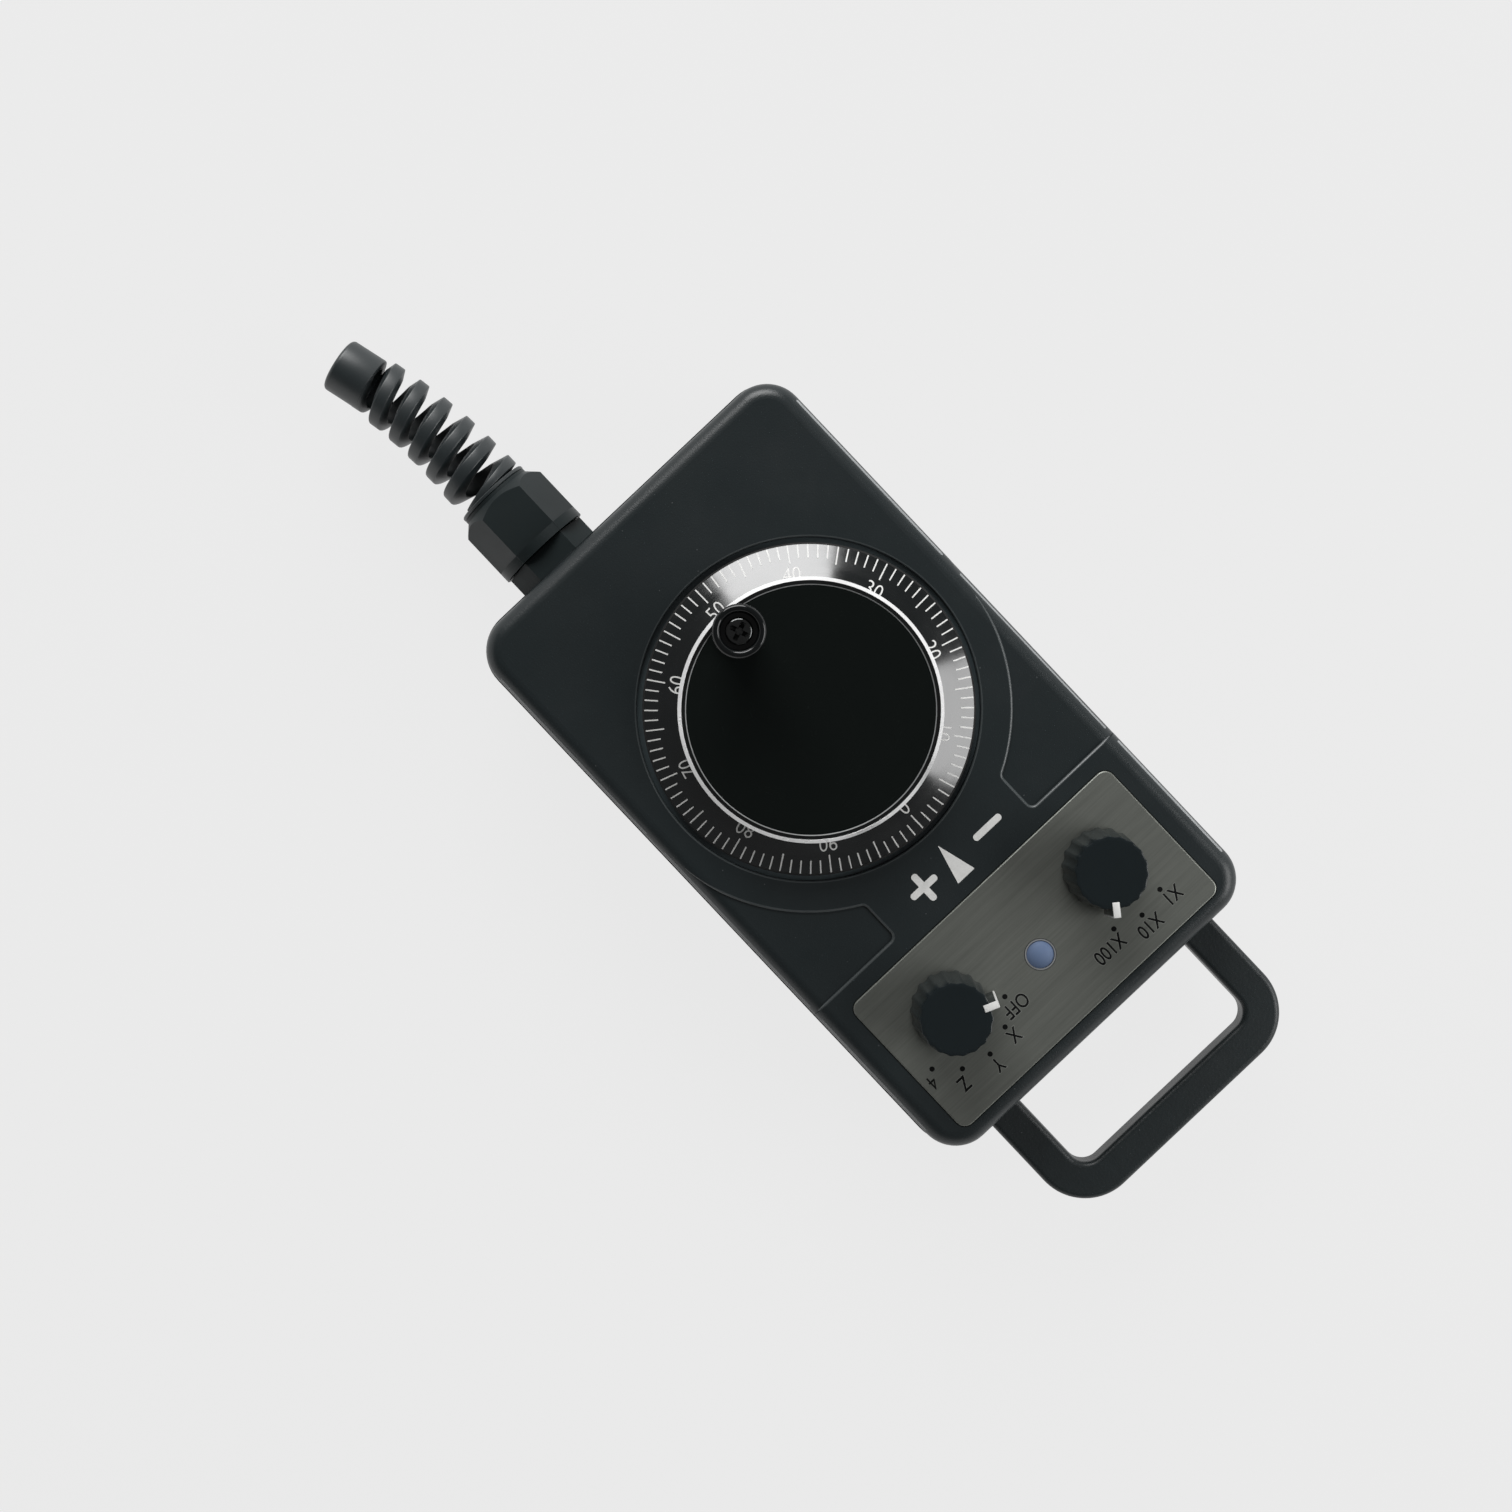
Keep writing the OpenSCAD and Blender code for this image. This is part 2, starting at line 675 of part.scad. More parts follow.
module hanger_loop() {
    leg_l = loop_bar_y - loop_mid_r - leg_foot_y;
    half_bar = leg_x - loop_mid_r;
    color([0.1, 0.105, 0.11]) difference() {
        translate([0, 0, loop_z]) {
            for (x = [-1, 1]) translate([x * leg_x, leg_foot_y, 0]) rotate([-90, 0, 0])
                linear_extrude(leg_l) round_rect(loop_bar_w, loop_bar_t, loop_edge_r);
            for (side = [0, 1]) mirror([side, 0, 0])
                translate([half_bar, loop_bar_y - loop_mid_r, 0]) rotate_extrude(angle = 90)
                    translate([loop_mid_r, 0]) round_rect(loop_bar_w, loop_bar_t, loop_edge_r);
            translate([0, loop_bar_y, 0]) rotate([90, 0, 90])
                linear_extrude(2 * half_bar, center = true)
                    round_rect(loop_bar_w, loop_bar_t, loop_edge_r);
        }
        for (x = [-1, 1]) translate([x * leg_x, leg_foot_y - over, loop_z]) rotate([-90, 0, 0])
            cylinder(r = screw_r + slip, h = loop_grip_l - loop_screw_gap + over);
    }
}

module loop_screws() {
    color("silver") for (x = [-1, 1])
        translate([x * leg_x, leg_foot_y - socket_rib - slip, loop_z]) rotate([90, 0, 0])
            pan_screw(screw_r, socket_rib + loop_grip_l - 2 * loop_screw_gap, screw_head_r,
                screw_head_h);
}

// ---------------------------------------------------------------- label plate and indicator

module label_plate() {
    color([0.45, 0.45, 0.43]) difference() {
        translate([0, plate_y, case_h - pocket_depth]) linear_extrude(plate_t)
            round_rect(plate_w, plate_l, plate_corner_r);
        for (x = [-1, 1]) translate([x * knob_x, knob_y, rear_h])
            cylinder(r = bush_r + clear, h = front_h + over);
        translate([0, lamp_y, rear_h]) cylinder(r = lamp_hole_r, h = front_h + over);
    }
}

module indicator_holder() {
    color("silver") translate([0, lamp_y, 0]) {
        translate([0, 0, inside_z - lamp_flange_h - root])
            ring(lamp_hole_r - slip, lamp_d / 2 + slip,
                plate_top + clear - inside_z + lamp_flange_h + root);
        translate([0, 0, inside_z - lamp_flange_h])
            ring(lamp_hole_r + lamp_flange_w, lamp_hole_r - slip, lamp_flange_h);
    }
}

module indicator_lens() {
    dome_r = lamp_d * 0.9;
    dome_drop = sqrt(pow(dome_r, 2) - pow(lamp_d / 2, 2));
    color([0.5, 0.55, 0.7]) translate([0, lamp_y, 0]) {
        intersection() {
            translate([0, 0, plate_top - clear - dome_drop]) rotate([90, 0, 0]) sphere(dome_r);
            translate([0, 0, inside_z - lamp_tail])
                cylinder(d = lamp_d, h = plate_top - inside_z + lamp_tail + lamp_d);
        }
        for (x = [-lead_pitch / 2, lead_pitch / 2])
            translate([x - lead_w / 2, -lead_w / 2, inside_z - lamp_tail - lead_l])
                cube([lead_w, lead_w, lead_l]);
    }
}

// ---------------------------------------------------------------- handwheel

module scale_ring() {
    color([0.02, 0.02, 0.022]) rotate_extrude()
        polygon([[hub_r + seat, ring_top - ring_wall_t], [hub_r + seat, ring_top],
            [ring_flat_r, ring_top], [wheel_r - ring_edge_round, case_h + ring_edge_h],
            [wheel_r, case_h + ring_edge_h - ring_edge_round], [wheel_r, ring_foot],
            [wheel_r - ring_wall_t, ring_foot],
            [wheel_r - ring_wall_t, case_h + ring_edge_h - ring_wall_t],
            [ring_flat_r, ring_top - ring_wall_t]]);
}

module wheel_disc() {
    pocket_r = insert_r + insert_gap;
    head_hole_r = screw_head_r + 2 * loose;
    color([0.03, 0.03, 0.032]) difference() {
        rotate_extrude() polygon([[wheel_shaft_r + seat, well_floor + collar_h],
            [wheel_shaft_r + seat, shaft_top + slip], [screw_r + clear, shaft_top + slip],
            [screw_r + clear, shaft_top + shaft_web], [head_hole_r, shaft_top + shaft_web],
            [head_hole_r, insert_foot], [pocket_r, insert_foot],
            [pocket_r, disc_top - pocket_round], [pocket_r + pocket_round, disc_top],
            [disc_r - disc_chamfer, disc_top], [disc_r, disc_top - disc_chamfer * 0.9],
            [disc_r, ring_top + disc_undercut], [disc_r - disc_undercut, ring_top],
            [hub_r, ring_top], [hub_r, well_floor + collar_h]]);
        translate([0, -crank_r, ring_top - over])
            cylinder(r = crank_screw_r + slip, h = disc_t + 2 * over);
    }
}

module wheel_insert() {
    color([0.004, 0.004, 0.004]) difference() {
        translate([0, 0, insert_foot]) cylinder(r = insert_r, h = insert_t);
        translate([0, -crank_r, insert_foot - over])
            cylinder(r = crank_screw_r + clear, h = insert_t + 2 * over);
    }
}

module wheel_screw() {
    head_seat = shaft_top + shaft_web;
    color("silver") translate([0, 0, head_seat])
        pan_screw(screw_r, shaft_thread_l - 1, screw_head_r, screw_head_h);
}

module wheel_shaft() {
    color("silver") difference() {
        union() {
            translate([0, 0, shaft_foot])
                cylinder(r = wheel_shaft_r, h = shaft_top - shaft_foot);
            translate([0, 0, cup_hub_top - clear + seat])
                cylinder(r = wheel_shaft_r + collar_w,
                    h = well_floor + collar_h - cup_hub_top + clear - seat);
        }
        translate([0, 0, shaft_top - shaft_thread_l])
            cylinder(r = screw_r + slip, h = shaft_thread_l + over);
    }
}

module shaft_bearings() {
    color([0.6, 0.6, 0.62]) for (z = [upper_bearing_z - clear, cup_hub_foot + clear])
        translate([0, 0, z]) ring(bearing_r - seat, wheel_shaft_r + seat, bearing_w);
}

module code_disc() {
    slot_w = PI * code_r / pulses * 0.9;
    color([0.7, 0.7, 0.72]) difference() {
        translate([0, 0, code_z]) ring(code_r, wheel_shaft_r + seat, code_t);
        for (i = [0 : pulses - 1]) rotate(i * 360 / pulses)
            translate([code_r - slot_l - slot_rim, -slot_w / 2, code_z - over])
                cube([slot_l, slot_w, code_t + 2 * over]);
    }
}

module detent_wheel() {
    notch_r = PI * detent_r / pulses * 0.8;
    color("gray") difference() {
        union() {
            translate([0, 0, detent_z]) ring(detent_r, wheel_shaft_r + seat, detent_t);
            translate([0, 0, code_z + code_t])
                ring(wheel_shaft_r + spacer_wall, wheel_shaft_r + seat,
                    cup_hub_foot + slip - code_z - code_t);
        }
        for (i = [0 : pulses - 1]) rotate(i * 360 / pulses)
            translate([detent_r + notch_r * 0.3, 0, detent_z - over])
                cylinder(r = notch_r, h = detent_t + 2 * over, $fn = 24);
    }
}

module detent_spring() {
    color("silver") {
        translate([-spring_half, spring_y - spring_t, detent_z])
            cube([2 * spring_half, spring_t, detent_t]);
        translate([0, spring_y, detent_z]) cylinder(r = nose_r, h = detent_t);
    }
}

// ---------------------------------------------------------------- crank

module crank_grip() {
    waist_z = crank_h * 0.35;
    flare_z = crank_h - crank_rim_h - waist_z;
    hollow_r = (pow(flare_z, 2) / (crank_grip_r - crank_waist_r)
        + crank_grip_r - crank_waist_r) / 2;
    rim_r = (crank_grip_r - crank_recess_r) / 2;
    color([0.02, 0.02, 0.02]) translate([0, -crank_r, crank_foot]) rotate_extrude() {
        difference() {
            union() {
                square([crank_grip_r, crank_h - rim_r]);
                translate([crank_grip_r - rim_r, crank_h - rim_r]) circle(rim_r);
                square([crank_grip_r - rim_r, crank_h]);
            }
            translate([crank_waist_r + hollow_r, waist_z]) circle(hollow_r, $fn = 360);
            translate([-over, -over])
                square([crank_screw_r + slip + over, crank_h + 2 * over]);
            translate([-over, crank_h - crank_recess_h])
                square([crank_recess_r + over, crank_recess_h + over]);
        }
    }
}

module crank_screw() {
    color("silver") translate([0, -crank_r, crank_floor + slip])
        pan_screw(crank_screw_r, crank_floor + slip - ring_top - crank_screw_gap, crank_head_r,
            crank_head_h);
}

module crank_washer() {
    color("silver") translate([0, -crank_r, insert_top])
        ring(crank_washer_r, crank_screw_r + slip, crank_foot - insert_top - slip);
}

// ---------------------------------------------------------------- encoder

module encoder_cup() {
    color([0.12, 0.12, 0.13]) difference() {
        union() {
            difference() {
                translate([0, 0, cup_foot]) cylinder(r = encoder_r, h = encoder_depth);
                translate([0, 0, cup_foot - over])
                    cylinder(r = encoder_r - cup_wall, h = encoder_depth - cup_roof + over);
            }
            translate([0, 0, cup_hub_foot])
                cylinder(r = cup_hub_r, h = cup_hub_top - cup_hub_foot);
            for (a = encoder_screw_angles) rotate(a)
                translate([encoder_screw_r, 0, inside_z - screw_column_h])
                    cylinder(r = screw_column_r, h = screw_column_h - clear);
            // posts that carry the detent spring
            for (x = [-1, 1])
                translate([x * (spring_half - spring_post_w / 2) - spring_post_w / 2,
                        spring_y - spring_t - spring_post_w, detent_z - 2 * clear])
                    cube([spring_post_w, spring_post_w, inside_z - detent_z - over]);
        }
        translate([0, 0, cup_hub_foot - over])
            cylinder(r = bearing_r - bearing_lip, h = cup_hub_top - cup_hub_foot + 2 * over);
        translate([0, 0, upper_bearing_z - clear])
            cylinder(r = bearing_r, h = bearing_w + 2 * clear + over);
        translate([0, 0, cup_hub_foot - over])
            cylinder(r = bearing_r, h = bearing_w + clear + over);
        for (a = encoder_screw_angles) rotate(a)
            translate([encoder_screw_r, 0, inside_z - encoder_screw_l - root])
                cylinder(r = screw_r + slip, h = encoder_screw_l + root + over);
    }
}

module encoder_screws() {
    color("silver") for (a = encoder_screw_angles) rotate(a)
        translate([encoder_screw_r, 0, well_floor])
            pan_screw(screw_r, face_t - well_depth + encoder_screw_l, screw_head_r, screw_head_h);
}

module encoder_board() {
    color([0.1, 0.35, 0.15]) translate([0, 0, cup_foot - board_t])
        ring(encoder_r - root, wheel_shaft_r + 1, board_t);
}

// Fork of the optical sensor: it stands on the board and straddles the code disc's edge
module encoder_sensor() {
    top = code_z + code_t + sensor_gap + 1.4;
    color([0.05, 0.05, 0.05]) intersection() {
        difference() {
            translate([code_r - sensor_reach, -sensor_w / 2, cup_foot])
                cube([sensor_reach + cup_wall + over, sensor_w, top - cup_foot]);
            translate([0, -sensor_w / 2 - over, code_z - sensor_gap])
                cube([code_r + slot_rim, sensor_w + 2 * over, code_t + 2 * sensor_gap]);
        }
        cylinder(r = encoder_r - cup_wall - clear, h = case_h);
    }
}

// Screw terminals on a board: a stepped block with a wire hole and a screw in each way
module terminal_row(length) {
    ways = floor(length / terminal_pitch);
    difference() {
        union() {
            translate([-length / 2, -terminal_w / 2, 0])
                cube([length, terminal_w, terminal_step_h]);
            translate([-length / 2, -terminal_step_w / 2, 0])
                cube([length, terminal_step_w, terminal_h]);
        }
        for (i = [0 : ways - 1]) translate([(i + 0.5) * length / ways - length / 2, 0, 0]) {
            translate([-wire_hole_w / 2, -terminal_w / 2 - over, wire_hole_z])
                cube([wire_hole_w, terminal_w / 2, wire_hole_w]);
            translate([0, 0, terminal_step_h]) cylinder(r = terminal_screw_r, h = terminal_h);
        }
    }
}

module encoder_terminals() {
    color([0.1, 0.4, 0.2]) translate([0, -encoder_r / 2 + 1, cup_foot - board_t]) mirror([0, 0, 1])
        terminal_row(encoder_terminal_l);
}

// ---------------------------------------------------------------- selectors

// Side view of the pointer: along the top of the knob and down its side
module pointer_side(grow) {
    foot = 0.6;
    sunk = 0.55;
    rise = 0.2;
    inner_r = knob_top_r - pointer_reach;
    foot_r = knob_base_r - (knob_base_r - knob_top_r) * foot / knob_h;
    polygon([[inner_r - grow, knob_h - sunk - grow],
        [inner_r - grow, knob_h + rise],
        [knob_top_r + pointer_proud, knob_h + rise],
        [foot_r + pointer_proud, foot - grow],
        [foot_r - sunk - grow, foot - grow],
        [knob_top_r - sunk - grow, knob_h - sunk - grow]]);
}

module pointer_bar(grow) {
    rotate([90, 0, 90]) linear_extrude(pointer_w + 2 * grow, center = true) pointer_side(grow);
}

module selector_knob() {
    flute_r = 0.9;
    tilt = atan((knob_base_r - knob_top_r) / knob_h);
    bevel_foot_r = knob_top_r + (knob_base_r - knob_top_r) * knob_bevel / knob_h;
    difference() {
        rotate_extrude() polygon([[0, 0], [knob_base_r, 0], [bevel_foot_r, knob_h - knob_bevel],
            [knob_top_r - knob_bevel, knob_h], [0, knob_h]]);
        // flutes all round
        for (i = [0 : knob_flutes - 1]) rotate((i + 0.5) * 360 / knob_flutes + 90)
            translate([knob_base_r + flute_r - flute_depth, 0, 0]) rotate([0, -tilt, 0])
                translate([0, 0, -over]) cylinder(r = flute_r, h = knob_h + 3 * over);
        pointer_bar(slip);
        translate([0, 0, -over]) cylinder(r = knob_pocket_r, h = knob_pocket_h + over);
        intersection() {
            cylinder(r = switch_shaft_d / 2 + seat, h = shaft_reach);
            translate([-over - switch_shaft_d, shaft_flat - switch_shaft_d / 2 - seat, 0])
                cube([2 * (switch_shaft_d + over), switch_shaft_d + over, shaft_reach]);
        }
    }
}

// Shaft from inside the switch up into the knob, with its flat
module selector_shaft() {
    foot = inside_z - switch_depth + shaft_bed;
    tip = knob_foot + shaft_reach - shaft_tip_gap;
    difference() {
        translate([0, 0, foot]) cylinder(d = switch_shaft_d, h = tip - foot);
        translate([-switch_shaft_d, -switch_shaft_d / 2 - over, plate_top + bush_h + 2 * clear])
            cube([2 * switch_shaft_d, shaft_flat + over, tip]);
    }
}

// Rotary switch: body, threaded bush and ring of contact pins
module rotary_switch() {
    foot = inside_z - switch_depth;
    seat_w = switch_d * 0.8;
    seat_t = 0.8;
    pin_ring_r = switch_d * 0.36;
    pin_t = 0.6;
    pin_w = 1.2;
    pin_l = 3.5;
    difference() {
        union() {
            translate([0, 0, foot]) cylinder(d = switch_d, h = switch_depth - seat_t);
            translate([-seat_w / 2, -seat_w / 2, inside_z - seat_t])
                cube([seat_w, seat_w, seat_t]);
            translate([0, 0, inside_z - over])
                cylinder(r = bush_r, h = plate_top + bush_h - inside_z + over);
            for (i = [0 : 7]) rotate(i * 45) translate([pin_ring_r, -pin_w / 2, foot - pin_l])
                cube([pin_t, pin_w, pin_l + root]);
        }
        translate([0, 0, foot + shaft_bed - clear])
            cylinder(r = switch_shaft_d / 2 + slip, h = case_h);
    }
}

module bush_nut() {
    difference() {
        translate([0, 0, plate_top]) hex(bush_nut_af, bush_nut_h);
        translate([0, 0, plate_top - over])
            cylinder(r = bush_r + slip, h = bush_nut_h + 2 * over);
    }
}

module at_axis() { translate([knob_x, knob_y, 0]) children(); }
module at_multiplier() { translate([-knob_x, knob_y, 0]) children(); }
module axis_turned() { at_axis() rotate(axis_rest_deg) children(); }
module multiplier_turned() { at_multiplier() rotate(multiplier_rest_deg) children(); }

module axis_knob() {
    color([0.1, 0.11, 0.12]) axis_turned() translate([0, 0, knob_foot]) selector_knob();
}
module axis_pointer() {
    color("white") axis_turned() translate([0, 0, knob_foot]) pointer_bar(0);
}
module axis_shaft() { color("silver") axis_turned() selector_shaft(); }
module axis_switch() { color([0.2, 0.2, 0.22]) at_axis() rotary_switch(); }
module axis_switch_nut() { color("silver") at_axis() bush_nut(); }
module multiplier_knob() {
    color([0.1, 0.11, 0.12]) multiplier_turned() translate([0, 0, knob_foot]) selector_knob();
}
module multiplier_pointer() {
    color("white") multiplier_turned() translate([0, 0, knob_foot]) pointer_bar(0);
}
module multiplier_shaft() { color("silver") multiplier_turned() selector_shaft(); }
module multiplier_switch() { color([0.2, 0.2, 0.22]) at_multiplier() rotary_switch(); }
module multiplier_switch_nut() { color("silver") at_multiplier() bush_nut(); }

// ---------------------------------------------------------------- main board

module main_board() {
    color([0.1, 0.35, 0.15]) difference() {
        translate([-board_w / 2, board_y - board_l / 2, board_z]) cube([board_w, board_l, board_t]);
        for (x = [-1, 1], y = [-1, 1])
            translate([x * board_hole_x, board_y + y * board_hole_y, board_z - over])
                cylinder(r = board_screw_r + clear, h = board_t + 2 * over);
    }
}

module board_screws() {
    color("silver") for (x = [-1, 1], y = [-1, 1])
        translate([x * board_hole_x, board_y + y * board_hole_y, board_z + board_t])
            pan_screw(board_screw_r, board_t + board_post_h - screw_end_gap - clear, board_head_r,
                board_head_h);
}

module board_terminals() {
    row_y = board_y - board_l / 2 + terminal_w / 2 + terminal_edge_gap;
    color([0.1, 0.4, 0.2]) translate([0, row_y, board_z + board_t])
        terminal_row(terminal_l);
}

// ---------------------------------------------------------------- cable gland

module gland_body() {
    stub_in = gland_inner_seat - gland_seat_y + lock_nut_l + thread_end;
    color([0.06, 0.065, 0.07]) on_gland() difference() {
        union() {
            translate([0, 0, -stub_in]) cylinder(d = gland_thread_d, h = stub_in + root);
            hex(gland_body_af, gland_body_l);
            translate([0, 0, gland_body_l - root])
                cylinder(r = gland_stub_r, h = gland_stub_l + root);
        }
        translate([0, 0, -stub_in - over])
            cylinder(r = gland_bore_r, h = stub_in + gland_body_l + gland_stub_l + 2 * over);
        translate([0, 0, seal_z]) cylinder(r = seal_r, h = gland_stub_l);
    }
}

module gland_lock_nut() {
    color([0.06, 0.065, 0.07]) on_gland()
        translate([0, 0, gland_seat_y - gland_inner_seat - lock_nut_l]) difference() {
            hex(lock_nut_af, lock_nut_l);
            translate([0, 0, -over])
                cylinder(d = gland_thread_d + 2 * slip, h = lock_nut_l + 2 * over);
        }
}

module gland_seal() {
    color([0.3, 0.3, 0.3]) on_gland() translate([0, 0, seal_z + seat])
        ring(seal_r - slip, cable_r, seal_l);
}

module gland_nut() {
    corner_r = gland_nut_af / sqrt(3);
    nose_r = corner_r - nut_slope_l;
    slope_z = gland_nut_l - nut_nose_l - nut_slope_l;
    color([0.05, 0.055, 0.06]) on_gland() difference() {
        translate([0, 0, nut_start]) {
            cylinder(r = corner_r - slip, h = nut_collar_l);
            intersection() {
                hex(gland_nut_af, gland_nut_l);
                union() {
                    cylinder(r = corner_r + over, h = slope_z);
                    translate([0, 0, slope_z])
                        cylinder(r1 = corner_r, r2 = nose_r, h = nut_slope_l);
                    cylinder(r = nose_r, h = gland_nut_l);
                }
            }
        }
        translate([0, 0, nut_start - over])
            cylinder(r = gland_stub_r + slip, h = gland_nut_l - exit_wall + over);
        translate([0, 0, nut_start])
            cylinder(r = guard_neck_r + slip, h = gland_nut_l + over);
    }
}

// Heading of the guard's axis at a distance along it: it turns towards +X
function heading(s) = max(0, s - guard_straight) / guard_bend_r * 180 / PI;

// Point of the guard's axis at a distance along it, from the end of its collar
function axis_point(s) =
    let (h = heading(s))
    [guard_bend_r * (1 - cos(h)), -min(s, guard_straight) - guard_bend_r * sin(h), 0];

// Point at a radius and angle round the axis, moved along it by a small step
function round_point(s, r, a, along) =
    let (h = heading(s))
    axis_point(s) + along * [sin(h), -cos(h), 0] + r * [cos(a) * cos(h), cos(a) * sin(h), sin(a)];

// Share of its full width that the strip has: it grows out of the collar
function strip_share(s) = min(1, 0.3 + 2 * s / guard_pitch);

// Outer radius of the strip: it tapers, and sinks into the sleeve at its end
function strip_r(s) =
    let (t = s / spiral_l)
    t <= 0.9 ? guard_root_r + (guard_tip_r - guard_root_r) * t / 0.9
             : guard_tip_r + (sleeve_r - 0.25 - guard_tip_r) * min(1, (t - 0.9) / 0.12);

module spiral_strip() {
    count = ceil((guard_turns + strip_overlap) * strip_steps);
    sides = 4;
    rings = [for (i = [0 : count])
        let (s = i * guard_pitch / strip_steps, a = strip_phase + i * 360 / strip_steps,
            r = strip_r(s), inner = strip_inner_w / 2 * strip_share(s),
            outer = strip_outer_w / 2 * strip_share(s))
        [round_point(s, strip_inner_r, a, -inner), round_point(s, r, a, -outer),
            round_point(s, r, a, outer), round_point(s, strip_inner_r, a, inner)]];
    walls = [for (i = [0 : count - 1], j = [0 : sides - 1])
        let (k = (j + 1) % sides)
        for (f = [[i * sides + j, (i + 1) * sides + k, (i + 1) * sides + j],
                  [i * sides + j, i * sides + k, (i + 1) * sides + k]]) f];
    last = [[0, 1, 2] + count * sides * [1, 1, 1], [0, 2, 3] + count * sides * [1, 1, 1]];
    first = [[2, 1, 0], [3, 2, 0]];
    polyhedron([for (r = rings) for (p = r) p], concat(walls, first, last));
}

module bend_guard() {
    sleeve_heading = heading(spiral_l);
    edge_r = 0.8;
    color([0.05, 0.055, 0.06]) {
        on_gland() difference() {
            union() {
                translate([0, 0, nut_end - exit_wall - guard_flange_l - slip])
                    cylinder(r = guard_flange_r, h = guard_flange_l);
                translate([0, 0, nut_end - exit_wall - over])
                    cylinder(r = guard_neck_r, h = exit_wall + over + root);
                translate([0, 0, nut_end + slip])
                    cylinder(r = guard_collar_r, h = guard_collar_l);
            }
            translate([0, 0, nut_start]) cylinder(r = cable_r, h = gland_nut_l + 3 * over);
        }
        translate([gland_x, gland_seat_y - guard_start, gland_z]) {
            spiral_strip();
            translate(axis_point(spiral_l)) rotate(sleeve_heading) rotate([90, 0, 0]) difference() {
                rotate_extrude() {
                    square([sleeve_r, sleeve_l - edge_r]);
                    square([sleeve_r - edge_r, sleeve_l]);
                    translate([sleeve_r - edge_r, sleeve_l - edge_r]) circle(edge_r);
                }
                translate([0, 0, -over]) cylinder(r = cable_r, h = sleeve_l + 2 * over);
            }
        }
    }
}

// ---------------------------------------------------------------- one node at a time

front_shell();
rear_shell();
case_gasket();
case_screws();
hanger_loop();
loop_screws();
label_plate();
indicator_holder();
indicator_lens();
scale_ring();
wheel_disc();
wheel_insert();
wheel_screw();
wheel_shaft();
shaft_bearings();
code_disc();
detent_wheel();
detent_spring();
encoder_cup();
encoder_screws();
encoder_board();
encoder_sensor();
encoder_terminals();
crank_grip();
crank_screw();
crank_washer();
axis_knob();
axis_pointer();
axis_shaft();
axis_switch();
axis_switch_nut();
multiplier_knob();
multiplier_pointer();
multiplier_shaft();
multiplier_switch();
multiplier_switch_nut();
main_board();
board_screws();
board_terminals();
gland_body();
gland_lock_nut();
gland_seal();
gland_nut();
bend_guard();
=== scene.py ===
"""Finishes, printed marks, bend guard, stage and camera of a hand-held pulse generator.

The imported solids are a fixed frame. Each class below holds one sub-assembly: it builds the
pieces that the solids leave out, and gives a finish to its pieces and to its solids.
"""

from __future__ import annotations

import logging
import math
from dataclasses import dataclass
from enum import Enum
from typing import Iterable, Mapping, Sequence

import bpy
from mathutils import Matrix, Vector

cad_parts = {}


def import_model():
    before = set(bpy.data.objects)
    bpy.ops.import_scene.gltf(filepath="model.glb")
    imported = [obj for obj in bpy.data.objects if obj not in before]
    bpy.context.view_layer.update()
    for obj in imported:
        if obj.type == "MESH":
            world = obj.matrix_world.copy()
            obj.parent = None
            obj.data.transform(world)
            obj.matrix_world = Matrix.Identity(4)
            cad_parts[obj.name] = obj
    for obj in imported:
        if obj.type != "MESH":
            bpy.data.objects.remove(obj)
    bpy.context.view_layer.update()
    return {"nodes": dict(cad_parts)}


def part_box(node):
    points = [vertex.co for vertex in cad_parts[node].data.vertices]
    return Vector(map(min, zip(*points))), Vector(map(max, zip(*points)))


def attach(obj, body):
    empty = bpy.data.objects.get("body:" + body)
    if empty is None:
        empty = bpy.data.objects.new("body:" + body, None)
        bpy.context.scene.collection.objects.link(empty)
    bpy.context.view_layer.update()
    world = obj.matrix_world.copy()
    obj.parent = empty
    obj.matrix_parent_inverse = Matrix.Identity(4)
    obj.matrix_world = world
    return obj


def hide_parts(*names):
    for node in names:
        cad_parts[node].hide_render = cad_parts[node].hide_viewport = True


LOG = logging.getLogger("pendant")
MM = 0.001
FINE_SIDES = 256
# A word is extruded both ways in letter units and then stretched to its thickness.
WORD_EXTRUDE = 0.01
WORD_STRETCH = 2 * MM
WORD_T = 2 * WORD_EXTRUDE * WORD_STRETCH
Colour = tuple[float, float, float]
Point = tuple[float, float]
KNOB_SPOTS = {"axis": (18.7 * MM, 56.8 * MM), "multiplier": (-18.7 * MM, 56.8 * MM)}


class Body(str, Enum):
    """The bodies that the joints move."""

    CASE = "case"
    WHEEL = "wheel"
    CRANK = "crank"
    AXIS = "axis_selector"
    MULTIPLIER = "multiplier_selector"


# ------------------------------------------------------------------------------ the workbench


def arc(centre: Point, radius: float, first: float, last: float, steps: int) -> list[Point]:
    """Gives the points of an arc from its first angle to its last, one more than the steps."""
    angles = (first + (last - first) * k / steps for k in range(steps + 1))
    return [(centre[0] + radius * math.cos(a), centre[1] + radius * math.sin(a)) for a in angles]


def between(low: Sequence[float], high: Sequence[float]) -> Point:
    """Gives the middle of a box, seen from above."""
    return (low[0] + high[0]) / 2, (low[1] + high[1]) / 2


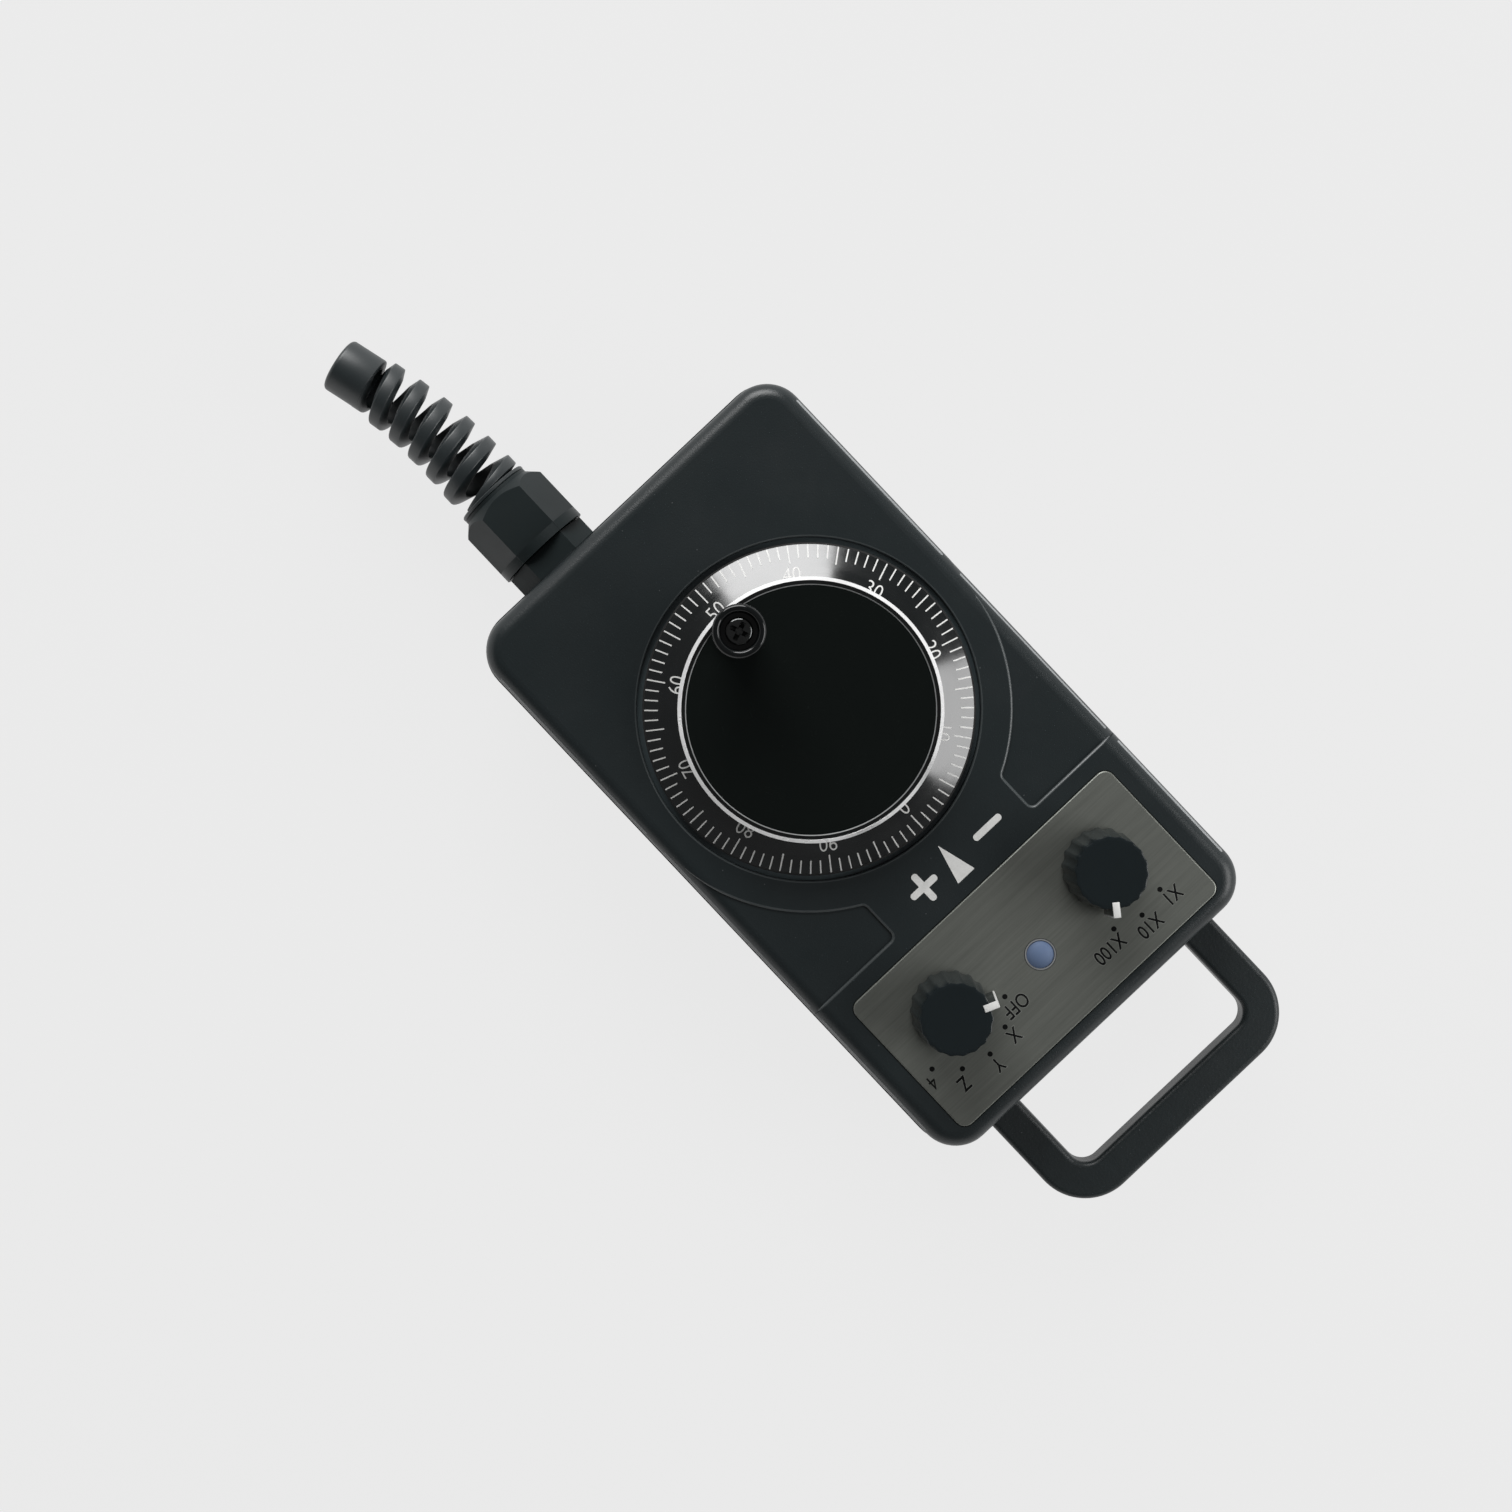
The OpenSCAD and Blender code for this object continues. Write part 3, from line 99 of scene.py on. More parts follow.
class Bench:
    """Blender's own operators, used on one mesh at a time with nothing else selected."""

    @staticmethod
    def done() -> None:
        """Leaves edit mode."""
        bpy.ops.object.mode_set(mode="OBJECT")

    @staticmethod
    def shape() -> None:
        """Enters edit mode with the whole mesh selected."""
        bpy.ops.object.mode_set(mode="EDIT")
        bpy.ops.mesh.select_all(action="SELECT")

    @staticmethod
    def clear() -> None:
        """Goes to object mode and leaves nothing selected."""
        if bpy.context.mode != "OBJECT":
            Bench.done()
        bpy.ops.object.select_all(action="DESELECT")

    @staticmethod
    def focus(piece: bpy.types.Object) -> None:
        """Selects one piece alone and makes it active.

        Args:
            piece: The piece to work on.
        """
        Bench.clear()
        piece.select_set(True)
        bpy.context.view_layer.objects.active = piece

    @staticmethod
    def named(name: str) -> bpy.types.Object:
        """Names what an operator has just added.

        Args:
            name: The piece's name.

        Returns:
            The new piece.
        """
        piece = bpy.context.view_layer.objects.active
        piece.name = name
        piece.data.name = name
        return piece

    @staticmethod
    def hold(data: bpy.types.ID) -> bpy.types.Object:
        """Puts a lamp, a camera or a curve into the scene, in an object of the same name.

        Args:
            data: What the object holds.

        Returns:
            The object.
        """
        holder = bpy.data.objects.new(data.name, data)
        bpy.context.scene.collection.objects.link(holder)
        return holder

    @staticmethod
    def pick(piece: bpy.types.Object, kind: str, picked: Sequence[bool]) -> None:
        """Enters edit mode with some of a piece's faces or edges selected.

        Args:
            piece: The piece to edit.
            kind: FACE or EDGE.
            picked: Whether each of them is selected, in the mesh's order.
        """
        Bench.focus(piece)
        bpy.ops.object.mode_set(mode="EDIT")
        bpy.ops.mesh.select_mode(type=kind)
        bpy.ops.mesh.select_all(action="DESELECT")
        Bench.done()
        for part, chosen in zip(piece.data.polygons if kind == "FACE" else piece.data.edges, picked):
            part.select = chosen
        bpy.ops.object.mode_set(mode="EDIT")

    @staticmethod
    def extrude(offset: Sequence[float]) -> None:
        """Extrudes the selection by an offset in metres."""
        bpy.ops.mesh.extrude_region_move(TRANSFORM_OT_translate={"value": tuple(offset)})

    @staticmethod
    def widen(factors: Sequence[float], centre: Sequence[float] = (0, 0, 0)) -> None:
        """Scales the selection about a point."""
        bpy.ops.transform.resize(value=tuple(factors), center_override=tuple(centre))

    @staticmethod
    def applied(piece: bpy.types.Object, kind: str, **settings: object) -> None:
        """Puts a modifier on a piece and applies it.

        Args:
            piece: The piece to change.
            kind: The modifier's type.
            **settings: The modifier's settings.
        """
        Bench.focus(piece)
        modifier = piece.modifiers.new(kind.lower(), kind)
        for name, value in settings.items():
            setattr(modifier, name, value)
        bpy.ops.object.modifier_apply(modifier=modifier.name)

    @staticmethod
    def tidy(piece: bpy.types.Object, smooth_deg: float = 35) -> None:
        """Merges doubles, turns the faces outwards and smooths the shallow edges.

        Args:
            piece: The piece to finish.
            smooth_deg: The sharpest edge that is still smoothed.
        """
        Bench.focus(piece)
        Bench.shape()
        bpy.ops.mesh.remove_doubles(threshold=1e-7)
        bpy.ops.mesh.normals_make_consistent(inside=False)
        Bench.done()
        bpy.ops.object.shade_smooth_by_angle(angle=math.radians(smooth_deg))

    @staticmethod
    def twin(piece: bpy.types.Object, place: Matrix) -> bpy.types.Object:
        """Copies a piece with its own mesh and puts the copy in its place.

        Args:
            piece: The piece to copy.
            place: Where the copy goes.

        Returns:
            The copy.
        """
        copy = piece.copy()
        copy.data = piece.data.copy()
        bpy.context.scene.collection.objects.link(copy)
        copy.data.transform(place)
        return copy

    @staticmethod
    def joined(pieces: Sequence[bpy.types.Object], name: str) -> bpy.types.Object:
        """Joins pieces into the first of them.

        Args:
            pieces: The pieces to join.
            name: The name of the result.

        Returns:
            The joined piece.
        """
        Bench.clear()
        for piece in pieces:
            piece.select_set(True)
        bpy.context.view_layer.objects.active = pieces[0]
        bpy.ops.object.join()
        return Bench.named(name)

    @staticmethod
    def drop(piece: bpy.types.Object) -> None:
        """Deletes a piece that only served as a pattern."""
        Bench.focus(piece)
        bpy.ops.object.delete()

    @staticmethod
    def bored(piece: bpy.types.Object, cutter: bpy.types.Object) -> None:
        """Cuts a piece with another and deletes the cutter."""
        Bench.applied(piece, "BOOLEAN", operation="DIFFERENCE", object=cutter, solver="EXACT")
        Bench.drop(cutter)

    @staticmethod
    def bar(name: str, width: float, length: float, thick: float, round_r: float) -> bpy.types.Object:
        """Makes a flat bar with rounded corners, its foot at z = 0.

        Args:
            name: The piece's name.
            width: Its size along X.
            length: Its size along Y.
            thick: Its thickness.
            round_r: The radius of its corners.

        Returns:
            The bar, centred on the origin.
        """
        Bench.clear()
        bpy.ops.mesh.primitive_plane_add(size=1)
        piece = Bench.named(name)
        Bench.shape()
        Bench.widen((width, length, 1))
        bpy.ops.mesh.bevel(offset=round_r, segments=6, affect="VERTICES")
        bpy.ops.mesh.select_all(action="SELECT")
        Bench.extrude((0, 0, thick))
        Bench.tidy(piece)
        return piece

    @staticmethod
    def slab(name: str, outline: Sequence[Point], width: float) -> bpy.types.Object:
        """Makes a bar from its outline in the XZ plane.

        Args:
            name: The piece's name.
            outline: Corners as (x, z), in order.
            width: Its width along Y, centred.

        Returns:
            The bar, with its edges eased.
        """
        Bench.clear()
        bpy.ops.mesh.primitive_circle_add(vertices=len(outline), radius=1, fill_type="NGON")
        piece = Bench.named(name)
        for vertex, (x, z) in zip(piece.data.vertices, outline):
            vertex.co = (x, -width / 2, z)
        Bench.shape()
        Bench.extrude((0, width, 0))
        bpy.ops.mesh.select_all(action="SELECT")
        bpy.ops.mesh.normals_make_consistent(inside=False)
        bpy.ops.mesh.bevel(offset=0.08 * MM, segments=2, affect="EDGES")
        Bench.tidy(piece)
        return piece

    @staticmethod
    def turned(name: str, profile: Sequence[Point], sides: int) -> bpy.types.Object:
        """Turns an open profile round Z by extruding a disc ring by ring.

        Args:
            name: The piece's name.
            profile: Radius and height of each ring, in metres.
            sides: The number of faces round the axis.

        Returns:
            The piece, in edit mode with its last ring selected.
        """
        Bench.clear()
        radius, height = profile[0]
        bpy.ops.mesh.primitive_circle_add(vertices=sides, radius=radius, fill_type="NGON")
        piece = Bench.named(name)
        Bench.shape()
        bpy.ops.transform.translate(value=(0, 0, height))
        for r, z in profile[1:]:
            Bench.extrude((0, 0, z - height))
            Bench.widen((r / radius, r / radius, 1))
            radius, height = r, z
        return piece

    @staticmethod
    def tube(name: str, profile: Sequence[Point], sides: int = FINE_SIDES) -> bpy.types.Object:
        """Turns a closed profile round Z by extruding a circle ring by ring.

        Args:
            name: The piece's name.
            profile: Radius and height of each ring, in metres, in order round the section.
            sides: The number of faces round the axis.

        Returns:
            A closed ring-shaped piece.
        """
        Bench.clear()
        radius, height = profile[0]
        bpy.ops.mesh.primitive_circle_add(vertices=sides, radius=radius, location=(0, 0, height))
        piece = Bench.named(name)
        bpy.ops.object.transform_apply()
        Bench.shape()
        for r, z in [*profile[1:], profile[0]]:
            bpy.ops.mesh.extrude_edges_move(TRANSFORM_OT_translate={"value": (0, 0, z - height)})
            Bench.widen((r / radius, r / radius, 1))
            radius, height = r, z
        Bench.tidy(piece)
        return piece

    @staticmethod
    def beads(
        name: str, runs: Sequence[Sequence[tuple[float, ...]]], radius: float, rounding: int
    ) -> bpy.types.Object:
        """Makes round beads along runs of points.

        Args:
            name: The piece's name.
            runs: Each run's points as (x, y, z, share of the radius).
            radius: The beads' radius.
            rounding: How finely their section is rounded.

        Returns:
            All the beads as one mesh.
        """
        line = bpy.data.curves.new(name, "CURVE")
        line.dimensions = "3D"
        line.bevel_depth = radius
        line.bevel_resolution = rounding
        line.use_fill_caps = True
        for points in runs:
            run = line.splines.new("POLY")
            run.points.add(len(points) - 1)
            for point, (x, y, z, share) in zip(run.points, points):
                point.co = (x, y, z, 1)
                point.radius = share
        Bench.focus(Bench.hold(line))
        bpy.ops.object.convert(target="MESH")
        piece = Bench.named(name)
        Bench.tidy(piece, 60)
        return piece

    @staticmethod
    def word(text: str, height: float, narrow: float, thin: float) -> bpy.types.Object:
        """Makes a flat word in the built-in face, centred on the origin.

        Args:
            text: The word.
            height: The height of its capitals, in metres.
            narrow: Its width as a share of the face's own width.
            thin: How much its strokes are thinned, as a share of the letter size.

        Returns:
            The word as a mesh of the thickness WORD_T.
        """
        capital = 0.729  # the height of the face's capitals in letter units
        Bench.clear()
        bpy.ops.object.text_add()
        letters = bpy.context.view_layer.objects.active.data
        letters.body = text
        letters.align_x = "CENTER"
        letters.align_y = "CENTER"
        letters.offset = -thin
        letters.resolution_u = 4
        letters.extrude = WORD_EXTRUDE
        bpy.ops.object.convert(target="MESH")
        piece = Bench.named("word")
        spans = [[v.co[axis] for v in piece.data.vertices] for axis in (0, 1)]
        centre = Vector([(min(span) + max(span)) / 2 for span in spans] + [0])
        size = height / capital
        piece.data.transform(
            Matrix.Diagonal((size * narrow, size, WORD_STRETCH, 1)) @ Matrix.Translation(-centre)
        )
        return piece


# ------------------------------------------------------------------------------ shader recipes


class Recipe:
    """Adds nodes to one node tree and joins them."""

    def __init__(self, tree: bpy.types.NodeTree) -> None:
        """Takes a material's or a group's node tree to fill."""
        self.tree = tree

    def add(
        self, kind: str, feeds: Mapping[str | int, object] | None = None, **settings: object
    ) -> bpy.types.Node:
        """Adds one node.

        Args:
            kind: The node's type, without the word Shader Node.
            feeds: What goes into its sockets: a value, or another node's output.
            **settings: The node's own settings.

        Returns:
            The new node.
        """
        node = self.tree.nodes.new(kind if kind.startswith("NodeGroup") else f"ShaderNode{kind}")
        for name, value in settings.items():
            setattr(node, name, value)
        for socket, value in (feeds or {}).items():
            if isinstance(value, bpy.types.NodeSocket):
                self.tree.links.new(value, node.inputs[socket])
            else:
                node.inputs[socket].default_value = value
        return node

    def maths(self, operation: str, *values: object) -> bpy.types.NodeSocket:
        """Adds a Math node and gives its result."""
        return self.add("Math", dict(enumerate(values)), operation=operation).outputs[0]

    def swing(self, value: object, amount: object) -> bpy.types.NodeSocket:
        """Gives how far a value from 0 to 1 lies from its middle, times an amount."""
        return self.maths("MULTIPLY", self.maths("SUBTRACT", value, 0.5), amount)

    def layered(self, strong: object, weak: object) -> bpy.types.NodeSocket:
        """Adds six tenths of one value to four tenths of another."""
        return self.maths("ADD", self.maths("MULTIPLY", strong, 0.6), self.maths("MULTIPLY", weak, 0.4))

    def toned(self, colour: object, share: object) -> bpy.types.NodeSocket:
        """Multiplies a colour by a number."""
        return self.add("VectorMath", {0: colour, "Scale": share}, operation="SCALE").outputs[0]

    def span(self, value: object, low: float, high: float, to: Point) -> bpy.types.NodeSocket:
        """Maps a value from the range between low and high to another, clamped."""
        feeds = {"Value": value, 1: low, 2: high, 3: to[0], 4: to[1]}
        return self.add("MapRange", feeds, clamp=True).outputs[0]

    def blend(self, share: object, first: object, second: object) -> bpy.types.NodeSocket:
        """Mixes two colours, with a share of the second."""
        return self.add("Mix", {0: share, 6: first, 7: second}, data_type="RGBA").outputs[2]

    def place(
        self, scale: Sequence[float] = (1, 1, 1), move: Sequence[float] = (0, 0, 0)
    ) -> bpy.types.NodeSocket:
        """Gives Object coordinates, moved and then scaled.

        Args:
            scale: The scale along X, Y and Z.
            move: The shift before the scale, in metres.

        Returns:
            The coordinates' socket.
        """
        where = self.add("TexCoord").outputs["Object"]
        shifted = self.add("Mapping", {"Vector": where, "Location": tuple(move)}).outputs[0]
        return self.add("Mapping", {"Vector": shifted, "Scale": tuple(scale)}).outputs[0]

    def noise(
        self, where: object, scale: object, detail: float = 2, rough: float = 0.5
    ) -> bpy.types.NodeSocket:
        """Gives a noise from 0 to 1, with its scale per metre, its octaves and their strength."""
        feeds = {"Vector": where, "Scale": scale, "Detail": detail, "Roughness": rough}
        return self.add("TexNoise", feeds).outputs[0]

    def bump(self, height: object, depth: float) -> bpy.types.NodeSocket:
        """Gives the normal of a relief whose full swing is a depth in metres."""
        return self.add("Bump", {"Height": height, "Distance": depth, "Strength": 1.0}).outputs[0]

    def effect(
        self, kind: type[SharedEffect], feeds: Mapping[str, object] | None = None
    ) -> bpy.types.NodeOutputs:
        """Places a shared effect, fed with its own values, and gives its outputs."""
        return self.add("Group", feeds, node_tree=kind.tree()).outputs


def rgba(colour: Iterable[float]) -> tuple[float, ...]:
    """Adds full opacity to a colour."""
    return (*colour, 1.0)


NUMBER = "NodeSocketFloat"
TINT = "NodeSocketColor"


class SharedEffect:
    """A shader node group that several finishes use, built once."""

    name: str
    takes: Mapping[str, tuple[str, object]]
    gives: Mapping[str, str]

    @staticmethod
    def fill(recipe: Recipe, given: bpy.types.NodeOutputs) -> Mapping[str, object]:
        """Adds the group's nodes to its recipe and gives the socket for each output."""
        raise NotImplementedError

    @classmethod
    def tree(cls) -> bpy.types.NodeTree:
        """Builds the group the first time that it is asked for.

        Returns:
            The group's node tree.
        """
        found = bpy.data.node_groups.get(cls.name)
        if found:
            return found
        made = bpy.data.node_groups.new(cls.name, "ShaderNodeTree")
        for socket, (kind, value) in cls.takes.items():
            made.interface.new_socket(socket, in_out="INPUT", socket_type=kind).default_value = value
        for socket, kind in cls.gives.items():
            made.interface.new_socket(socket, in_out="OUTPUT", socket_type=kind)
        recipe = Recipe(made)
        given = recipe.add("NodeGroupInput").outputs
        recipe.add("NodeGroupOutput", cls.fill(recipe, given))
        return made


class MouldedGrain(SharedEffect):
    """A moulded skin: fine grain, broad mottling, handling shine and a few specks of dust."""

    name = "moulded_grain"
    takes = {
        "Colour": (TINT, rgba((0.02, 0.02, 0.02))),
        "Roughness": (NUMBER, 0.5),
        "Grain": (NUMBER, 2500.0),
        "Mottling": (NUMBER, 0.3),
        "Dust": (NUMBER, 0.0),
    }
    gives = {"Colour": TINT, "Roughness": NUMBER, "Height": NUMBER}

    @staticmethod
    def fill(recipe: Recipe, given: bpy.types.NodeOutputs) -> Mapping[str, object]:
        """Adds the nodes of the grain, the mottling and the dust.

        Args:
            recipe: The group's recipe.
            given: The group's inputs, by name.

        Returns:
            The socket for each output.
        """
        where = recipe.place()
        fine = recipe.noise(where, given["Grain"], 3, 0.6)
        cells = recipe.add("TexVoronoi", {"Vector": where, "Scale": given["Grain"]}).outputs["Distance"]
        broad = recipe.noise(where, 70.0, 3, 0.55)
        patches = recipe.noise(where, 420.0)
        shade = recipe.maths("ADD", recipe.swing(recipe.layered(broad, patches), given["Mottling"]), 1.0)
        speck = recipe.add("TexVoronoi", {"Vector": where, "Scale": 800.0})
        small = recipe.maths("LESS_THAN", speck.outputs["Distance"], 0.09)
        tone = recipe.add("SeparateColor", {0: speck.outputs["Color"]}).outputs[0]
        few = recipe.maths("GREATER_THAN", tone, recipe.maths("SUBTRACT", 1.0, given["Dust"]))
        dust = recipe.maths("MULTIPLY", recipe.maths("MULTIPLY", small, few), 0.22)
        tinted = recipe.toned(given["Colour"], shade)
        return {
            "Colour": recipe.blend(dust, tinted, rgba((0.30, 0.31, 0.32))),
            "Roughness": recipe.maths("SUBTRACT", given["Roughness"], recipe.swing(broad, 0.22)),
            "Height": recipe.maths("ADD", fine, recipe.maths("MULTIPLY", cells, 0.5)),
        }


class BrushedLines(SharedEffect):
    """Brushing along X: long fine streaks with slow changes of tone across them."""

    name = "brushed_lines"
    takes = {
        "Colour": (TINT, rgba((0.4, 0.4, 0.4))),
        "Roughness": (NUMBER, 0.35),
        "Contrast": (NUMBER, 0.4),
    }
    gives = {"Colour": TINT, "Roughness": NUMBER, "Height": NUMBER}

    @staticmethod
    def fill(recipe: Recipe, given: bpy.types.NodeOutputs) -> Mapping[str, object]:
        """Adds the nodes of the streaks and the smudges.

        Args:
            recipe: The group's recipe.
            given: The group's inputs, by name.

        Returns:
            The socket for each output.
        """
        fine = recipe.noise(recipe.place((70, 2600, 2600)), 1.0, 3, 0.7)
        coarse = recipe.noise(recipe.place((35, 700, 700)), 1.0)
        shade = recipe.maths("ADD", recipe.swing(recipe.layered(fine, coarse), given["Contrast"]), 1.0)
        smudge = recipe.noise(recipe.place(), 95.0, 3, 0.6)
        return {
            "Colour": recipe.toned(given["Colour"], shade),
            "Roughness": recipe.maths("ADD", given["Roughness"], recipe.swing(smudge, 0.03)),
            "Height": fine,
        }


class TurnedLines(SharedEffect):
    """Fine rings that a lathe leaves round an axis along Z."""

    name = "turned_lines"
    takes = {"Fineness": (NUMBER, 6000.0), "Centre X": (NUMBER, 0.0), "Centre Y": (NUMBER, 0.0)}
    gives = {"Height": NUMBER, "Flow": NUMBER}

    @staticmethod
    def fill(recipe: Recipe, given: bpy.types.NodeOutputs) -> Mapping[str, object]:
        """Adds the nodes of the rings and of the slow change round them.

        Args:
            recipe: The group's recipe.
            given: The group's inputs, by name.

        Returns:
            The socket for each output.
        """
        centre = recipe.add("CombineXYZ", {0: given["Centre X"], 1: given["Centre Y"]}).outputs[0]
        where = recipe.add("VectorMath", {0: recipe.place(), 1: centre}, operation="SUBTRACT").outputs[0]
        x, y, z = recipe.add("SeparateXYZ", {0: where}).outputs
        squared = recipe.maths("ADD", recipe.maths("MULTIPLY", x, x), recipe.maths("MULTIPLY", y, y))
        radius = recipe.maths("SQRT", squared)
        along = recipe.add("CombineXYZ", {0: radius, 1: z}).outputs[0]
        angle = recipe.maths("ARCTAN2", y, x)
        sweep = recipe.add("CombineXYZ", {0: angle, 1: recipe.maths("MULTIPLY", radius, 160.0)}).outputs[0]
        return {
            "Height": recipe.noise(along, given["Fineness"], 2, 0.6),
            "Flow": recipe.noise(sweep, 2.2),
        }


class HandlingMarks(SharedEffect):
    """Hair scratches and smears on a glossy or metal skin."""

    name = "handling_marks"
    takes = {"Amount": (NUMBER, 0.1)}
    gives = {"Roughness": NUMBER, "Scratches": NUMBER}

    @staticmethod
    def fill(recipe: Recipe, given: bpy.types.NodeOutputs) -> Mapping[str, object]:
        """Adds the nodes of the smears and the broken, wavy scratches.

        Args:
            recipe: The group's recipe.
            given: The group's inputs, by name.

        Returns:
            The socket for each output.
        """
        where = recipe.place()
        slant = (1.0, 0.37, 0.21)
        across = recipe.add("VectorMath", {0: where, 1: slant}, operation="DOT_PRODUCT").outputs["Value"]
        bent = recipe.maths("MULTIPLY", recipe.noise(where, 40.0, 1), 60.0)
        wave = recipe.maths("SINE", recipe.maths("ADD", recipe.maths("MULTIPLY", across, 9000.0), bent))
        hair = recipe.span(wave, 0.985, 1.0, (0.0, 1.0))
        broken = recipe.span(recipe.noise(where, 900.0, 1), 0.56, 0.62, (0.0, 1.0))
        scratch = recipe.maths("MULTIPLY", hair, broken)
        smear = recipe.span(recipe.noise(where, 130.0, 4, 0.6), 0.35, 0.75, (0.0, 0.5))
        rough = recipe.maths("MULTIPLY", recipe.maths("ADD", smear, scratch), given["Amount"])
        return {"Roughness": rough, "Scratches": scratch}


# ------------------------------------------------------------------------------ finishes


@dataclass(frozen=True)
class Finish:
    """What every finish has: a name and the record's slot that it belongs to."""

    name: str
    slot: str

    def sockets(self, recipe: Recipe) -> Mapping[str, object]:
        """Adds the finish's nodes and gives what goes into the Principled BSDF's sockets."""
        raise NotImplementedError

    def material(self) -> bpy.types.Material:
        """Builds the material once and gives it.

        Returns:
            The material.
        """
        found = bpy.data.materials.get(self.name)
        if found:
            return found
        made = bpy.data.materials.new(self.name)
        made.use_nodes = True
        made.node_tree.nodes.clear()
        recipe = Recipe(made.node_tree)
        surface = recipe.add("BsdfPrincipled", self.sockets(recipe))
        recipe.add("OutputMaterial", {"Surface": surface.outputs[0]})
        return made


@dataclass(frozen=True)
class MouldedPlastic(Finish):
    """A moulded plastic skin with its grain."""

    colour: Colour
    roughness: float
    grain: float
    depth: float
    mottling: float = 0.35
    dust: float = 0.0
    gloss: float = 0.5

    def sockets(self, recipe: Recipe) -> Mapping[str, object]:
        """Adds the plastic's grain.

        Args:
            recipe: The material's recipe.

        Returns:
            What goes into the Principled BSDF's sockets.
        """
        feeds = {
            "Colour": rgba(self.colour),
            "Roughness": self.roughness,
            "Grain": 1 / self.grain,
            "Mottling": self.mottling,
            "Dust": self.dust,
        }
        skin = recipe.effect(MouldedGrain, feeds)
        return {
            "Base Color": skin["Colour"],
            "Roughness": skin["Roughness"],
            "Specular IOR Level": self.gloss,
            "Normal": recipe.bump(skin["Height"], self.depth),
        }


@dataclass(frozen=True)
class GlossLacquer(Finish):
    """A turned and lacquered or polished black skin."""

    colour: Colour
    roughness: float
    index: float
    gloss: float
    turned: float = 0.0
    marks: float = 0.08

    def sockets(self, recipe: Recipe) -> Mapping[str, object]:
        """Adds the lacquer's turning and its fine scratches.

        Args:
            recipe: The material's recipe.

        Returns:
            What goes into the Principled BSDF's sockets.
        """
        lathe = recipe.effect(TurnedLines)
        marks = recipe.effect(HandlingMarks, {"Amount": self.marks})
        flow = recipe.span(lathe["Flow"], 0.3, 0.7, (-0.03, 0.03))
        worn = recipe.maths("MULTIPLY", marks["Scratches"], min(1.0, 4 * self.marks))
        return {
            "Base Color": recipe.blend(worn, rgba(self.colour), rgba((0.03, 0.03, 0.03))),
            "Roughness": recipe.maths("ADD", recipe.maths("ADD", self.roughness, flow), marks["Roughness"]),
            "IOR": self.index,
            "Specular IOR Level": self.gloss,
            "Normal": recipe.bump(lathe["Height"], self.turned),
        }


@dataclass(frozen=True)
class BrushedSteel(Finish):
    """Steel brushed along X."""

    colour: Colour
    roughness: float
    contrast: float
    depth: float
    metal: float

    def sockets(self, recipe: Recipe) -> Mapping[str, object]:
        """Adds the steel's brushing.

        Args:
            recipe: The material's recipe.

        Returns:
            What goes into the Principled BSDF's sockets.
        """
        feeds = {"Colour": rgba(self.colour), "Roughness": self.roughness, "Contrast": self.contrast}
        brush = recipe.effect(BrushedLines, feeds)
        return {
            "Base Color": brush["Colour"],
            "Roughness": brush["Roughness"],
            "Metallic": self.metal,
            "Normal": recipe.bump(brush["Height"], self.depth),
        }


@dataclass(frozen=True)
class BrightMetal(Finish):
    """Plated or diamond-cut metal with turning marks and light wear."""

    colour: Colour
    roughness: float
    fineness: float = 5000.0
    depth: float = 0.002 * MM
    centre: Point = (0.0, 0.0)
    metal: float = 1.0

    def sockets(self, recipe: Recipe) -> Mapping[str, object]:
        """Adds the metal's turning and its wear.

        Args:
            recipe: The material's recipe.

        Returns:
            What goes into the Principled BSDF's sockets.
        """
        feeds = {"Fineness": self.fineness, "Centre X": self.centre[0], "Centre Y": self.centre[1]}
        lathe = recipe.effect(TurnedLines, feeds)
        marks = recipe.effect(HandlingMarks, {"Amount": 0.15})
        return {
            "Base Color": recipe.toned(self.colour, recipe.span(lathe["Flow"], 0.25, 0.75, (0.86, 1.06))),
            "Roughness": recipe.maths("ADD", self.roughness, marks["Roughness"]),
            "Metallic": self.metal,
            "Normal": recipe.bump(lathe["Height"], self.depth),
        }


@dataclass(frozen=True)
class PrintedPaint(Finish):
    """Screen-printed or filled paint, slightly uneven."""

    colour: Colour
    roughness: float = 0.45
    unevenness: float = 0.12
    gloss: float = 0.5

    def sockets(self, recipe: Recipe) -> Mapping[str, object]:
        """Adds the paint's cloudiness.

        Args:
            recipe: The material's recipe.

        Returns:
            What goes into the Principled BSDF's sockets.
        """
        where = recipe.place()
        cloud = recipe.noise(where, 800.0, 3, 0.6)
        tone = recipe.span(cloud, 0.3, 0.7, (1.0 - self.unevenness, 1.0))
        return {
            "Base Color": recipe.toned(self.colour, tone),
            "Roughness": recipe.span(cloud, 0.3, 0.7, (self.roughness + 0.08, self.roughness - 0.05)),
            "Specular IOR Level": self.gloss,
            "Normal": recipe.bump(recipe.noise(where, 4000.0), 0.004 * MM),
        }


